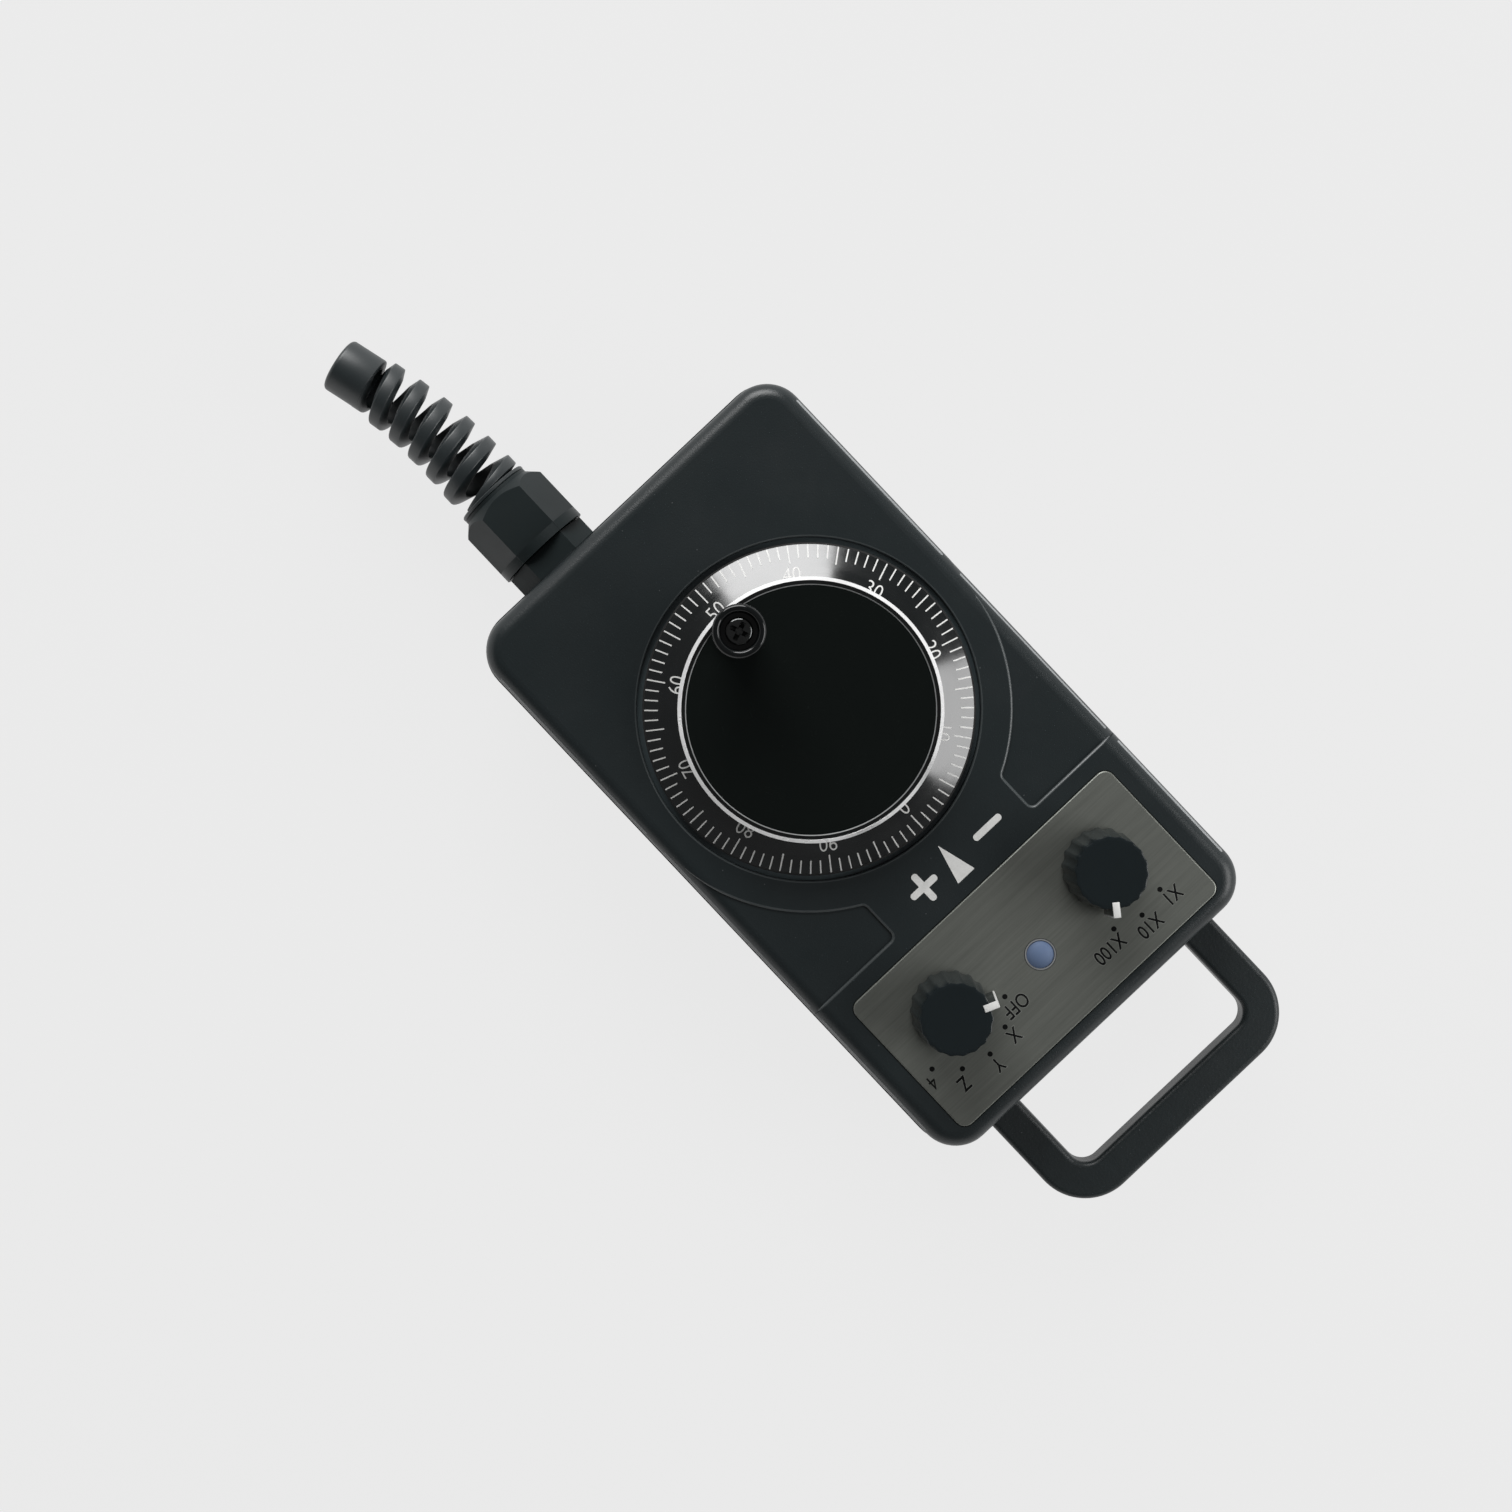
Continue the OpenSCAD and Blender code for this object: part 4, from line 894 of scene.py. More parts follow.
@dataclass(frozen=True)
class LampLens(Finish):
    """The pale bluish lens of an unlit indicator."""

    centre: Point
    colour: Colour = (0.13, 0.185, 0.305)
    rim: Colour = (0.105, 0.15, 0.25)
    radius: float = 2.5 * MM

    def sockets(self, recipe: Recipe) -> Mapping[str, object]:
        """Adds the lens's darker rim and its cloudiness.

        Args:
            recipe: The material's recipe.

        Returns:
            What goes into the Principled BSDF's sockets.
        """
        where = recipe.place(move=(-self.centre[0], -self.centre[1], 0))
        x, y, _ = recipe.add("SeparateXYZ", {0: where}).outputs
        flat = recipe.add("CombineXYZ", {0: x, 1: y}).outputs[0]
        out = recipe.add("VectorMath", {0: flat}, operation="LENGTH").outputs["Value"]
        cloud = recipe.maths("MULTIPLY", recipe.noise(where, 700.0, 3, 0.6), 0.3)
        share = recipe.maths("ADD", recipe.span(out, self.radius * 0.75, self.radius, (0.0, 1.0)), cloud)
        return {
            "Base Color": recipe.blend(
                recipe.maths("MINIMUM", share, 1.0), rgba(self.colour), rgba(self.rim)
            ),
            "Roughness": recipe.span(cloud, 0.08, 0.22, (0.5, 0.62)),
            "Specular IOR Level": 0.3,
            "Normal": recipe.bump(recipe.noise(where, 1500.0), 0.004 * MM),
        }


@dataclass(frozen=True)
class BoardLaminate(Finish):
    """Green circuit board or terminal plastic."""

    colour: Colour = (0.02, 0.12, 0.04)

    def sockets(self, recipe: Recipe) -> Mapping[str, object]:
        """Adds the laminate's weave.

        Args:
            recipe: The material's recipe.

        Returns:
            What goes into the Principled BSDF's sockets.
        """
        where = recipe.place()
        weave = recipe.add("TexWave", {"Vector": where, "Scale": 900.0, "Distortion": 1.5}).outputs["Fac"]
        return {
            "Base Color": recipe.blend(weave, rgba(self.colour), rgba(c * 1.35 for c in self.colour)),
            "Roughness": recipe.span(recipe.noise(where, 300.0), 0.3, 0.7, (0.3, 0.42)),
            "Normal": recipe.bump(weave, 0.005 * MM),
        }


HOUSING = MouldedPlastic(
    "housing_finish", "housing", (0.0122, 0.0176, 0.0192), 0.37, 0.33 * MM, 0.016 * MM, 0.3, 0.06, 0.5
)
LOOP = MouldedPlastic(
    "loop_finish", "loop_plastic", (0.0135, 0.019, 0.0205), 0.42, 0.6 * MM, 0.024 * MM, 0.9, 0.04, 0.5
)
NYLON = MouldedPlastic(
    "nylon_finish", "gland_nylon", (0.0125, 0.0185, 0.0205), 0.42, 0.5 * MM, 0.006 * MM, 0.3, 0.012, 0.8
)
NUT_NYLON = MouldedPlastic(
    "nut_nylon_finish", "gland_nylon", (0.0105, 0.0165, 0.0175), 0.46, 0.5 * MM, 0.006 * MM, 0.3, 0.012, 0.3
)
MATT_NYLON = MouldedPlastic(
    "matt_nylon_finish", "gland_nylon", (0.0105, 0.0175, 0.0185), 0.62, 0.5 * MM, 0.01 * MM, 0.3, 0.0, 0.25
)
KNOB = MouldedPlastic(
    "knob_finish", "knob_plastic", (0.0105, 0.015, 0.0168), 0.18, 0.28 * MM, 0.002 * MM, 0.25, 0.02, 0.32
)
HIDDEN_BLACK = MouldedPlastic(
    "hidden_black_finish", "encoder_plastic", (0.01, 0.01, 0.01), 0.5, 0.5 * MM, 0.01 * MM
)
SEAL = MouldedPlastic(
    "seal_finish", "seal_rubber", (0.015, 0.015, 0.015), 0.75, 0.3 * MM, 0.02 * MM, 0.3, 0.05, 0.3
)
# Painted highlight for the lips of the panels and the wheel well: lighter than the housing so that their
# rounded edges show as light lines.
LIP_HIGHLIGHT = MouldedPlastic(
    "lip_highlight_finish", "housing", (0.045, 0.054, 0.056), 0.4, 0.33 * MM, 0.004 * MM, 0.4, 0.0, 0.8
)
# Painted highlights for the two long edges: the far side's dimmer, the near (-X) side's much lighter,
# standing in for the reflection along each edge.
FAR_EDGE_HIGHLIGHT = MouldedPlastic(
    "far_edge_highlight_finish", "housing", (0.07, 0.078, 0.08), 0.3, 0.6 * MM, 0.004 * MM, 0.5, 0.0, 0.9
)
NEAR_EDGE_HIGHLIGHT = MouldedPlastic(
    "near_edge_highlight_finish", "housing", (0.31, 0.325, 0.33), 0.3, 0.6 * MM, 0.004 * MM, 0.5, 0.0, 0.9
)
# Painted light for the wheel well's floor: several times lighter than the housing, to fill the shade in the
# gap round the dial.
WELL_FLOOR_FILL_LIGHT = MouldedPlastic(
    "well_floor_fill_light_finish", "housing", (0.066, 0.09, 0.098), 0.42, 0.33 * MM, 0.01 * MM, 0.3, 0.0, 0.6
)
DIAL_BLACK = GlossLacquer(
    "dial_finish", "gloss_black", (0.003, 0.0045, 0.005), 0.14, 1.85, 0.5, 0.0006 * MM
)
CRANK_BLACK = GlossLacquer("crank_finish", "gloss_black", (0.0045, 0.0055, 0.0058), 0.1, 1.55, 0.34)
DISC_BLACK = GlossLacquer(
    "disc_finish", "anodised_disc", (0.004, 0.0045, 0.0045), 0.3, 1.5, 0.4, 0.001 * MM
)
INSERT_BLACK = GlossLacquer(
    "insert_finish", "insert_black", (0.0055, 0.0072, 0.0066), 0.25, 1.5, 0.1, 0.0, 0.012
)
PLATE = BrushedSteel("plate_finish", "plate_metal", (0.222, 0.232, 0.21), 0.42, 0.75, 0.003 * MM, 0.75)
HOLDER = BrightMetal("holder_finish", "plated_steel", (0.36, 0.37, 0.38), 0.3, metal=0.5)
DULL_CUT = BrightMetal("dull_cut_finish", "anodised_disc", (0.34, 0.35, 0.35), 0.3, 9000.0, metal=0.35)
# Painted highlight: a light outline round the plate's legends, standing in for the light caught by the
# edges of engraved letters.
LEGEND_EDGE_HIGHLIGHT = BrightMetal("legend_edge_highlight_finish", "plate_metal", (0.42, 0.43, 0.4), 0.4, metal=0.4)
DIAMOND_CUT = BrightMetal(
    "diamond_cut_finish", "anodised_disc", (0.93, 0.93, 0.93), 0.25, 9000.0, 0.0008 * MM, metal=0.35
)
PLATED = BrightMetal("plated_finish", "plated_steel", (0.66, 0.66, 0.66), 0.24)
PRINT_WHITE = PrintedPaint("white_print_finish", "pointer_white", (0.86, 0.86, 0.84))
MARK_BLACK = PrintedPaint("black_mark_finish", "insert_black", (0.003, 0.0035, 0.0035), 0.85, gloss=0.15)
BOARD = BoardLaminate("board_finish", "board_green")


def dress(piece: bpy.types.Object, finish: Finish) -> None:
    """Gives a piece or a solid its one finish.

    Args:
        piece: The object to dress.
        finish: Its finish.
    """
    piece.data.materials.clear()
    piece.data.materials.append(finish.material())
    for face in piece.data.polygons:
        face.material_index = 0


@dataclass
class Assembly:
    """A sub-assembly of the pendant: what it adds rides on a body and is reported."""

    nodes: Mapping[str, bpy.types.Object]

    def build(self) -> None:
        """Builds its pieces, and gives a finish to them and to its solids."""
        raise NotImplementedError

    def finish_nodes(self, finish: Finish, *names: str) -> None:
        """Gives one finish to several solids.

        Args:
            finish: Their finish.
            *names: The solids' names.
        """
        for name in names:
            dress(self.nodes[name], finish)
            LOG.info("solid %s: %s", name, finish.name)

    def mount(
        self, piece: bpy.types.Object, body: Body, finish: Finish, replaces: Iterable[str] = ()
    ) -> None:
        """Dresses a new piece and puts it on its body.

        Args:
            piece: The finished mesh.
            body: The body that it rides on.
            finish: Its finish.
            replaces: The solids that it stands for.
        """
        dress(piece, finish)
        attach(piece, body.value)
        if replaces:
            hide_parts(*replaces)
        LOG.info("piece %s on %s: %d faces", piece.name, body.value, len(piece.data.polygons))


# ------------------------------------------------------------------------------ sub-assemblies


@dataclass
class Housing(Assembly):
    """The two shells with their seal and screws, and the marks printed on the face."""

    face_z: float = 32.0 * MM
    paint: float = 0.03 * MM
    arrow_base_y: float = 41.35 * MM
    arrow_tip_y: float = 33.85 * MM
    arrow_half: float = 2.03 * MM
    arrow_corner_r: float = 0.12 * MM
    stroke: float = 1.3 * MM
    stroke_end_r: float = 0.6 * MM
    minus: Point = (-8.75 * MM, 37.55 * MM)
    plus: Point = (6.95 * MM, 37.6 * MM)
    minus_l: float = 6.5 * MM
    plus_l: float = 6.1 * MM
    panel_x: float = 16.5 * MM
    panel_top: float = 41.05 * MM
    panel_arc_r: float = 36.3 * MM
    panel_corner_r: float = 1.6 * MM
    panel_end_x: float = 35.9 * MM
    lip_r: float = 0.5 * MM
    lip_proud: float = 0.01 * MM
    lip_first_share: float = 0.3
    lip_growth_points: float = 14
    half_w: float = 37.22 * MM
    edge_r: float = 3.0 * MM
    line_r: float = 0.6 * MM
    line_tilt_deg: float = 55.0
    line_proud: float = 0.1 * MM
    line_runs: tuple[tuple[float, float, float], ...] = (
        (-43.2 * MM, -2.4 * MM, 0.0),
        (-0.2 * MM, 40.7 * MM, 0.6 * MM),
        (41.3 * MM, 71.2 * MM, 0.0),
    )
    line_fade: float = 1.5 * MM
    well_depth: float = 1.8 * MM
    well_r: float = 31.0 * MM
    well_lip_r: float = 0.35 * MM
    well_lip_skin: float = 0.015 * MM
    floor_w: float = 3.0 * MM
    floor_skin: float = 0.03 * MM
    floor_sunk: float = 0.02 * MM

    def arrow(self) -> bpy.types.Object:
        """Makes the reading mark above the wheel.

        Returns:
            The three-cornered mark, in its place.
        """
        Bench.clear()
        bpy.ops.mesh.primitive_circle_add(vertices=3, radius=1, fill_type="NGON")
        mark = Bench.named("arrow")
        half = max(v.co.x for v in mark.data.vertices)
        rows = [v.co.y for v in mark.data.vertices]
        stretch = (self.arrow_tip_y - self.arrow_base_y) / (max(rows) - min(rows))
        Bench.shape()
        Bench.widen((self.arrow_half / half, stretch, 1))
        bpy.ops.mesh.bevel(offset=self.arrow_corner_r, segments=3, affect="VERTICES")
        bpy.ops.mesh.select_all(action="SELECT")
        Bench.extrude((0, 0, 2 * self.paint))
        Bench.tidy(mark)
        foot = max(v.co.y for v in mark.data.vertices)
        mark.data.transform(Matrix.Translation((0, self.arrow_base_y - foot, self.face_z - self.paint)))
        return mark

    def face_marks(self) -> bpy.types.Object:
        """Makes the reading mark and the two direction signs.

        Returns:
            One piece of paint.
        """
        lift = self.face_z - self.paint
        at_plus = Matrix.Translation((*self.plus, lift))
        flat = Bench.bar("flat", self.minus_l, self.stroke, 2 * self.paint, self.stroke_end_r)
        flat.data.transform(Matrix.Translation((*self.minus, lift)))
        cross = Bench.bar("cross", self.plus_l, self.stroke, 2 * self.paint, self.stroke_end_r)
        upright = Bench.twin(cross, at_plus @ Matrix.Rotation(math.pi / 2, 4, "Z"))
        cross.data.transform(at_plus)
        Bench.applied(cross, "BOOLEAN", operation="UNION", object=upright, solver="EXACT")
        Bench.drop(upright)
        return Bench.joined([self.arrow(), flat, cross], "face_marks")

    def panel_edge(self) -> list[Point]:
        """Gives the edge of the sunk panel on the +X side, from the arc's end to the case's side.

        Returns:
            Points along the edge.
        """
        corner = self.panel_corner_r
        x = self.panel_x + corner
        y = math.sqrt((self.panel_arc_r + corner) ** 2 - x**2)
        meet = math.atan2(y, x)
        return [
            *arc((0, 0), self.panel_arc_r, math.acos(self.panel_end_x / self.panel_arc_r), meet, 40),
            *arc((x, y), corner, meet + math.pi, math.pi, 8),
            *arc((x, self.panel_top - corner), corner, math.pi, math.pi / 2, 8),
            (self.half_w - self.edge_r, self.panel_top),
            (self.panel_end_x, self.panel_top),
        ]

    def fillet_drop(self, x: float) -> float:
        """Gives how far the case's rounded edge has fallen below the face at a distance across."""
        past = max(0.0, x - (self.half_w - self.edge_r))
        return self.edge_r - math.sqrt(self.edge_r**2 - past**2)

    def panel_lips(self) -> bpy.types.Object:
        """Makes the softly rounded lips round the two sunk panels.

        Returns:
            Both lips as one piece.
        """
        edge = self.panel_edge()
        runs = []
        for side in (1, -1):
            run = []
            for number, (x, y) in enumerate(edge):
                at_end = number in (0, len(edge) - 1)
                dip = 2 * self.lip_r if at_end else self.lip_r - self.lip_proud
                share = min(1.0, self.lip_first_share + number / self.lip_growth_points)
                run.append((side * x, y, self.face_z - self.fillet_drop(x) - dip, share))
            runs.append(run)
        return Bench.beads("panel_lips", runs, self.lip_r, 3)

    def side_line(self, name: str, side: int) -> bpy.types.Object:
        """Makes a painted highlight line along the rounded edge of a long side, standing in for the edge's
        reflection.

        Args:
            name: The piece's name.
            side: 1 for the +X side, -1 for the other.

        Returns:
            The line.
        """
        tilt = math.radians(self.line_tilt_deg)
        reach = self.edge_r - self.line_r + self.line_proud
        sunk = reach - self.line_r
        centre_x, centre_z = self.half_w - self.edge_r, self.face_z - self.edge_r
        runs = []
        for first, last, drop in self.line_runs:
            lead_in, lead_out = first + self.line_fade, last - self.line_fade
            runs.append([
                (side * (centre_x + out * math.sin(tilt)), y, centre_z - drop + out * math.cos(tilt), 1.0)
                for y, out in ((first, sunk), (lead_in, reach), (lead_out, reach), (last, sunk))
            ])
        return Bench.beads(name, runs, self.line_r, 4)

    def well_floor(self) -> bpy.types.Object:
        """Makes a lighter skin on the wheel well's floor round the dial's foot, painted light that fills
        the shade in the gap.

        Returns:
            A thin flat ring.
        """
        foot = self.face_z - self.well_depth
        low, high = foot - self.floor_sunk, foot + self.floor_skin
        inner, outer = self.well_r - self.floor_w, self.well_r - self.floor_skin
        return Bench.tube("well_floor", [(inner, low), (outer, low), (outer, high), (inner, high)])

    def well_lip(self) -> bpy.types.Object:
        """Makes the lighter skin over the wheel well's rounded lip, a painted highlight.

        Returns:
            A thin ring over the lip.
        """
        centre = (self.well_r + self.well_lip_r, self.face_z - self.well_lip_r)
        over, under = (
            arc(centre, self.well_lip_r + depth * self.well_lip_skin, math.pi, math.pi / 2, 8)
            for depth in (1, -4)
        )
        return Bench.tube("well_lip", over + under[::-1])

    def build(self) -> None:
        """Builds the marks, lips and painted highlight lines, and dresses the housing."""
        self.finish_nodes(HOUSING, "front_shell", "rear_shell")
        self.finish_nodes(SEAL, "case_gasket")
        self.finish_nodes(PLATED, "case_screws")
        self.mount(self.face_marks(), Body.CASE, PRINT_WHITE)
        # Painted highlights: the lips of the panels and of the well carry a lighter finish than the
        # housing, standing in for the light their rounded edges catch.
        self.mount(self.panel_lips(), Body.CASE, LIP_HIGHLIGHT)
        self.mount(self.well_lip(), Body.CASE, LIP_HIGHLIGHT)
        # Painted highlights along the long edges, standing in for the reflection of the pale floor; the
        # near (-X) side's is far lighter than the far side's.
        self.mount(self.side_line("far_side_highlight", 1), Body.CASE, FAR_EDGE_HIGHLIGHT)
        self.mount(self.side_line("near_side_highlight", -1), Body.CASE, NEAR_EDGE_HIGHLIGHT)
        # Painted light: the well's floor skin is several times lighter than the housing, filling the shade
        # in the gap round the dial.
        self.mount(self.well_floor(), Body.CASE, WELL_FLOOR_FILL_LIGHT)


class HangerLoop(Assembly):
    """The loop at the end of the case and its screws."""

    def build(self) -> None:
        """Dresses the loop and its screws."""
        self.finish_nodes(LOOP, "hanger_loop")
        self.finish_nodes(PLATED, "loop_screws")


@dataclass
class LegendPlate(Assembly):
    """The steel plate round the two selectors, with its legends and the indicator."""

    corner_r: float = 2.0 * MM
    edge: float = 0.25 * MM
    bush_hole_r: float = 4.0 * MM
    lamp_hole_r: float = 2.9 * MM
    lamp: Point = (0.0, 60.7 * MM)
    ink: float = 0.02 * MM
    dot_r: float = 0.475 * MM
    letter_h: float = 2.75 * MM
    letter_narrow: float = 0.78
    legend_bolder: float = 0.014
    edge_highlight_bolder: float = 0.03
    edge_highlight_share: float = 0.4
    kept_thin: tuple[str, ...] = ("4",)

    def plate(self) -> bpy.types.Object:
        """Makes the plate with its eased edge and its three holes.

        Returns:
            The plate.
        """
        low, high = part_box("label_plate")
        width, length, thick = (b - a for a, b in zip(low, high))
        piece = Bench.bar("legend_plate", width, length, thick, self.corner_r)
        piece.data.transform(Matrix.Translation((*between(low, high), low[2])))
        Bench.pick(piece, "FACE", [face.normal.z > 0.9 for face in piece.data.polygons])
        bpy.ops.mesh.bevel(offset=self.edge, segments=3, affect="EDGES")
        Bench.done()
        bushes = [(self.bush_hole_r, KNOB_SPOTS[side]) for side in ("multiplier", "axis")]
        for radius, spot in [*bushes, (self.lamp_hole_r, self.lamp)]:
            Bench.clear()
            bpy.ops.mesh.primitive_cylinder_add(
                vertices=64, radius=radius, depth=8 * thick, location=(*spot, low[2])
            )
            Bench.bored(piece, Bench.named("drill"))
        Bench.tidy(piece)
        return piece

    def dots(self) -> bpy.types.Object:
        """Makes the ink dots of the two scales.

        Returns:
            One piece of ink.
        """
        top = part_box("label_plate")[1][2]
        right = [(9.87, 61.85), (13.57, 65.85), (18.87, 67.55), (24.32, 66.05), (28.32, 62.35)]
        left = [(-23.67, 66.95), (-18.17, 68.1), (-12.77, 66.45)]
        Bench.clear()
        bpy.ops.mesh.primitive_circle_add(vertices=20, radius=self.dot_r, fill_type="NGON")
        dot = Bench.named("dot")
        Bench.shape()
        Bench.extrude((0, 0, 2 * self.ink))
        Bench.tidy(dot)
        copies = [
            Bench.twin(dot, Matrix.Translation((x * MM, y * MM, top - self.ink)))
            for x, y in right + left
        ]
        Bench.drop(dot)
        return Bench.joined(copies, "plate_dots")

    def legends(self, name: str, bolder: float, lift: float) -> bpy.types.Object:
        """Makes the legends of the two scales.

        Args:
            name: The piece's name.
            bolder: How much their strokes are thickened, as a share of the letter size.
            lift: How far they stand over the plate.

        Returns:
            One piece.
        """
        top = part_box("label_plate")[1][2]
        words = [
            ("X1", -24.9, 69.25), ("X10", -18.0, 70.55), ("X100", -9.8, 68.65),
            ("OFF", 9.5, 64.45), ("X", 13.4, 68.05), ("Y", 19.1, 69.95),
            ("Z", 25.9, 68.25), ("4", 29.9, 64.25),
        ]
        flat = Matrix.Diagonal((1, 1, 2 * lift / WORD_T, 1))
        made = []
        for text, x, y in words:
            thin = 0.0 if text in self.kept_thin else -bolder
            word = Bench.word(text, self.letter_h, self.letter_narrow, thin)
            word.data.transform(Matrix.Translation((x * MM, y * MM, top)) @ flat)
            made.append(word)
        return Bench.joined(made, name)

    def build(self) -> None:
        """Builds and dresses the plate, its print and the indicator."""
        self.mount(self.plate(), Body.CASE, PLATE, ["label_plate"])
        self.mount(self.dots(), Body.CASE, MARK_BLACK)
        self.mount(self.legends("plate_legends", self.legend_bolder, self.ink), Body.CASE, MARK_BLACK)
        # Painted highlight: a bolder, lighter copy of the legends just under them, showing as a light
        # outline like lit letter edges.
        highlight_letters = self.legends("legend_highlight_letters", self.edge_highlight_bolder, self.ink * self.edge_highlight_share)
        self.mount(highlight_letters, Body.CASE, LEGEND_EDGE_HIGHLIGHT)
        self.finish_nodes(LampLens("lens_finish", "lamp_lens", self.lamp), "indicator_lens")
        self.finish_nodes(HOLDER, "indicator_holder")


@dataclass
class Dial(Assembly):
    """The wheel: its conical scale, disc, insert and hub."""

    cone_top_r: float = 21.4 * MM
    cone_foot_r: float = 29.65 * MM
    cone_top_z: float = 37.8 * MM
    cone_drop: float = 4.6 * MM
    turned_deg: float = 0.4
    tick_end_r: float = 29.58 * MM
    tick_l: float = 2.45 * MM
    long_tick_l: float = 3.35 * MM
    tick_w: float = 0.25 * MM
    tick_corner_r: float = 0.08 * MM
    paint: float = 0.03 * MM
    numeral_r: float = 24.2 * MM
    numeral_h: float = 2.9 * MM
    numeral_narrow: float = 0.86
    numeral_thin: float = 0.009
    disc_r: float = 23.57 * MM
    disc_top_z: float = 41.2 * MM
    chamfer_w: float = 0.65 * MM
    chamfer_h: float = 0.585 * MM
    pocket_r: float = 22.06 * MM
    pocket_edge: float = 0.15 * MM
    pocket_in: float = 0.006 * MM
    pocket_land: float = 0.02 * MM
    pocket_rise: float = 0.01 * MM
    skin: float = 0.014 * MM
    foot_edge: float = 0.3 * MM

    @property
    def slope(self) -> float:
        """Gives the cone's fall below level, in radians."""
        return math.atan2(self.cone_drop, self.cone_foot_r - self.cone_top_r)

    def cone_z(self, radius: float) -> float:
        """Gives the height of the cone's face at a radius."""
        return self.cone_top_z - (radius - self.cone_top_r) * math.tan(self.slope)

    def on_cone(self, radius: float, degrees: float) -> Matrix:
        """Gives the place on the cone's face at a radius and an angle from +Y.

        Args:
            radius: The distance from the axis.
            degrees: The angle, counter-clockwise from above.

        Returns:
            A frame with Y outwards down the slope and Z out of the face.
        """
        turn = Matrix.Rotation(math.radians(degrees + self.turned_deg), 4, "Z")
        lift = Matrix.Translation((0, radius, self.cone_z(radius)))
        return turn @ lift @ Matrix.Rotation(-self.slope, 4, "X")

    def ticks(self) -> bpy.types.Object:
        """Makes the hundred scale marks.

        Returns:
            One piece of paint.
        """
        along = math.cos(self.slope)
        lengths = {False: self.tick_l, True: self.long_tick_l}
        patterns = {
            long: Bench.bar("tick", self.tick_w, length / along, 2 * self.paint, self.tick_corner_r)
            for long, length in lengths.items()
        }
        made = []
        for k in range(100):
            long = k % 5 == 0
            place = self.on_cone(self.tick_end_r - lengths[long] / 2, 3.6 * k)
            made.append(Bench.twin(patterns[long], place @ Matrix.Translation((0, 0, -self.paint))))
        for pattern in patterns.values():
            Bench.drop(pattern)
        return Bench.joined(made, "dial_ticks")

    def numerals(self) -> bpy.types.Object:
        """Makes the ten numbers, wrapped round the cone with their tops outwards.

        Returns:
            One piece of paint.
        """
        made = []
        for k in range(10):
            word = Bench.word(str(10 * k), self.numeral_h, self.numeral_narrow, self.numeral_thin)
            for vertex in word.data.vertices:
                x, y, z = vertex.co
                radius = self.numeral_r + y
                angle = x / self.numeral_r
                lift = self.paint if z > 0 else -self.paint
                vertex.co = (radius * math.sin(angle), radius * math.cos(angle), self.cone_z(radius) + lift)
            word.data.transform(Matrix.Rotation(math.radians(36 * k + self.turned_deg), 4, "Z"))
            made.append(word)
        return Bench.joined(made, "dial_numerals")

    def rim_cut(self) -> bpy.types.Object:
        """Makes the bright cut face round the disc.

        Returns:
            A thin conical ring.
        """
        run = math.hypot(self.chamfer_w, self.chamfer_h)
        out, up = self.chamfer_h / run * self.skin, self.chamfer_w / run * self.skin
        foot_r, foot_z = self.disc_r, self.disc_top_z - self.chamfer_h
        top_r, top_z = self.disc_r - self.chamfer_w, self.disc_top_z
        profile = [
            (foot_r + out, foot_z + up),
            (top_r + out, top_z + up),
            (top_r - 4 * out, top_z - 2 * up),
            (foot_r - 4 * out, foot_z - 2 * up),
        ]
        return Bench.tube("rim_cut", profile)

    def foot_skin(self) -> bpy.types.Object:
        """Makes the dull edge at the cone's foot.

        Returns:
            A thin conical ring.
        """
        inner, outer = self.cone_foot_r, self.cone_foot_r + self.foot_edge
        top = self.cone_top_z - self.cone_drop
        low = top - self.foot_edge
        step = self.skin
        profile = [
            (inner - 2 * step, top + 2 * step),
            (inner + step, top + step),
            (outer + step, low + step),
            (outer + step, low - 4 * step),
            (outer - 2 * step, low - 4 * step),
            (inner - 2 * step, top - 3 * step),
        ]
        return Bench.tube("dial_foot", profile)

    def pocket_line(self) -> bpy.types.Object:
        """Makes the thin bright line round the insert.

        Returns:
            A thin conical ring.
        """
        inner, outer = self.pocket_r - self.pocket_in, self.pocket_r + self.pocket_edge
        top, low = self.disc_top_z, self.disc_top_z - self.pocket_edge
        profile = [
            (inner, low),
            (inner, low + self.pocket_rise),
            (outer, top + self.skin),
            (outer + self.pocket_land, top + self.skin),
            (outer + self.pocket_land, top - self.skin),
        ]
        return Bench.tube("pocket_line", profile)

    def build(self) -> None:
        """Builds the dial's marks and bright edges and dresses the wheel."""
        self.finish_nodes(DIAL_BLACK, "scale_ring")
        self.finish_nodes(DISC_BLACK, "wheel_disc")
        self.finish_nodes(INSERT_BLACK, "wheel_insert")
        self.finish_nodes(PLATED, "wheel_screw", "wheel_shaft", "shaft_bearings")
        self.finish_nodes(PLATED, "code_disc", "detent_wheel")
        self.mount(self.ticks(), Body.WHEEL, PRINT_WHITE)
        self.mount(self.numerals(), Body.WHEEL, PRINT_WHITE)
        self.mount(self.rim_cut(), Body.WHEEL, DIAMOND_CUT)
        self.mount(self.pocket_line(), Body.WHEEL, DULL_CUT)
        self.mount(self.foot_skin(), Body.WHEEL, SEAL)


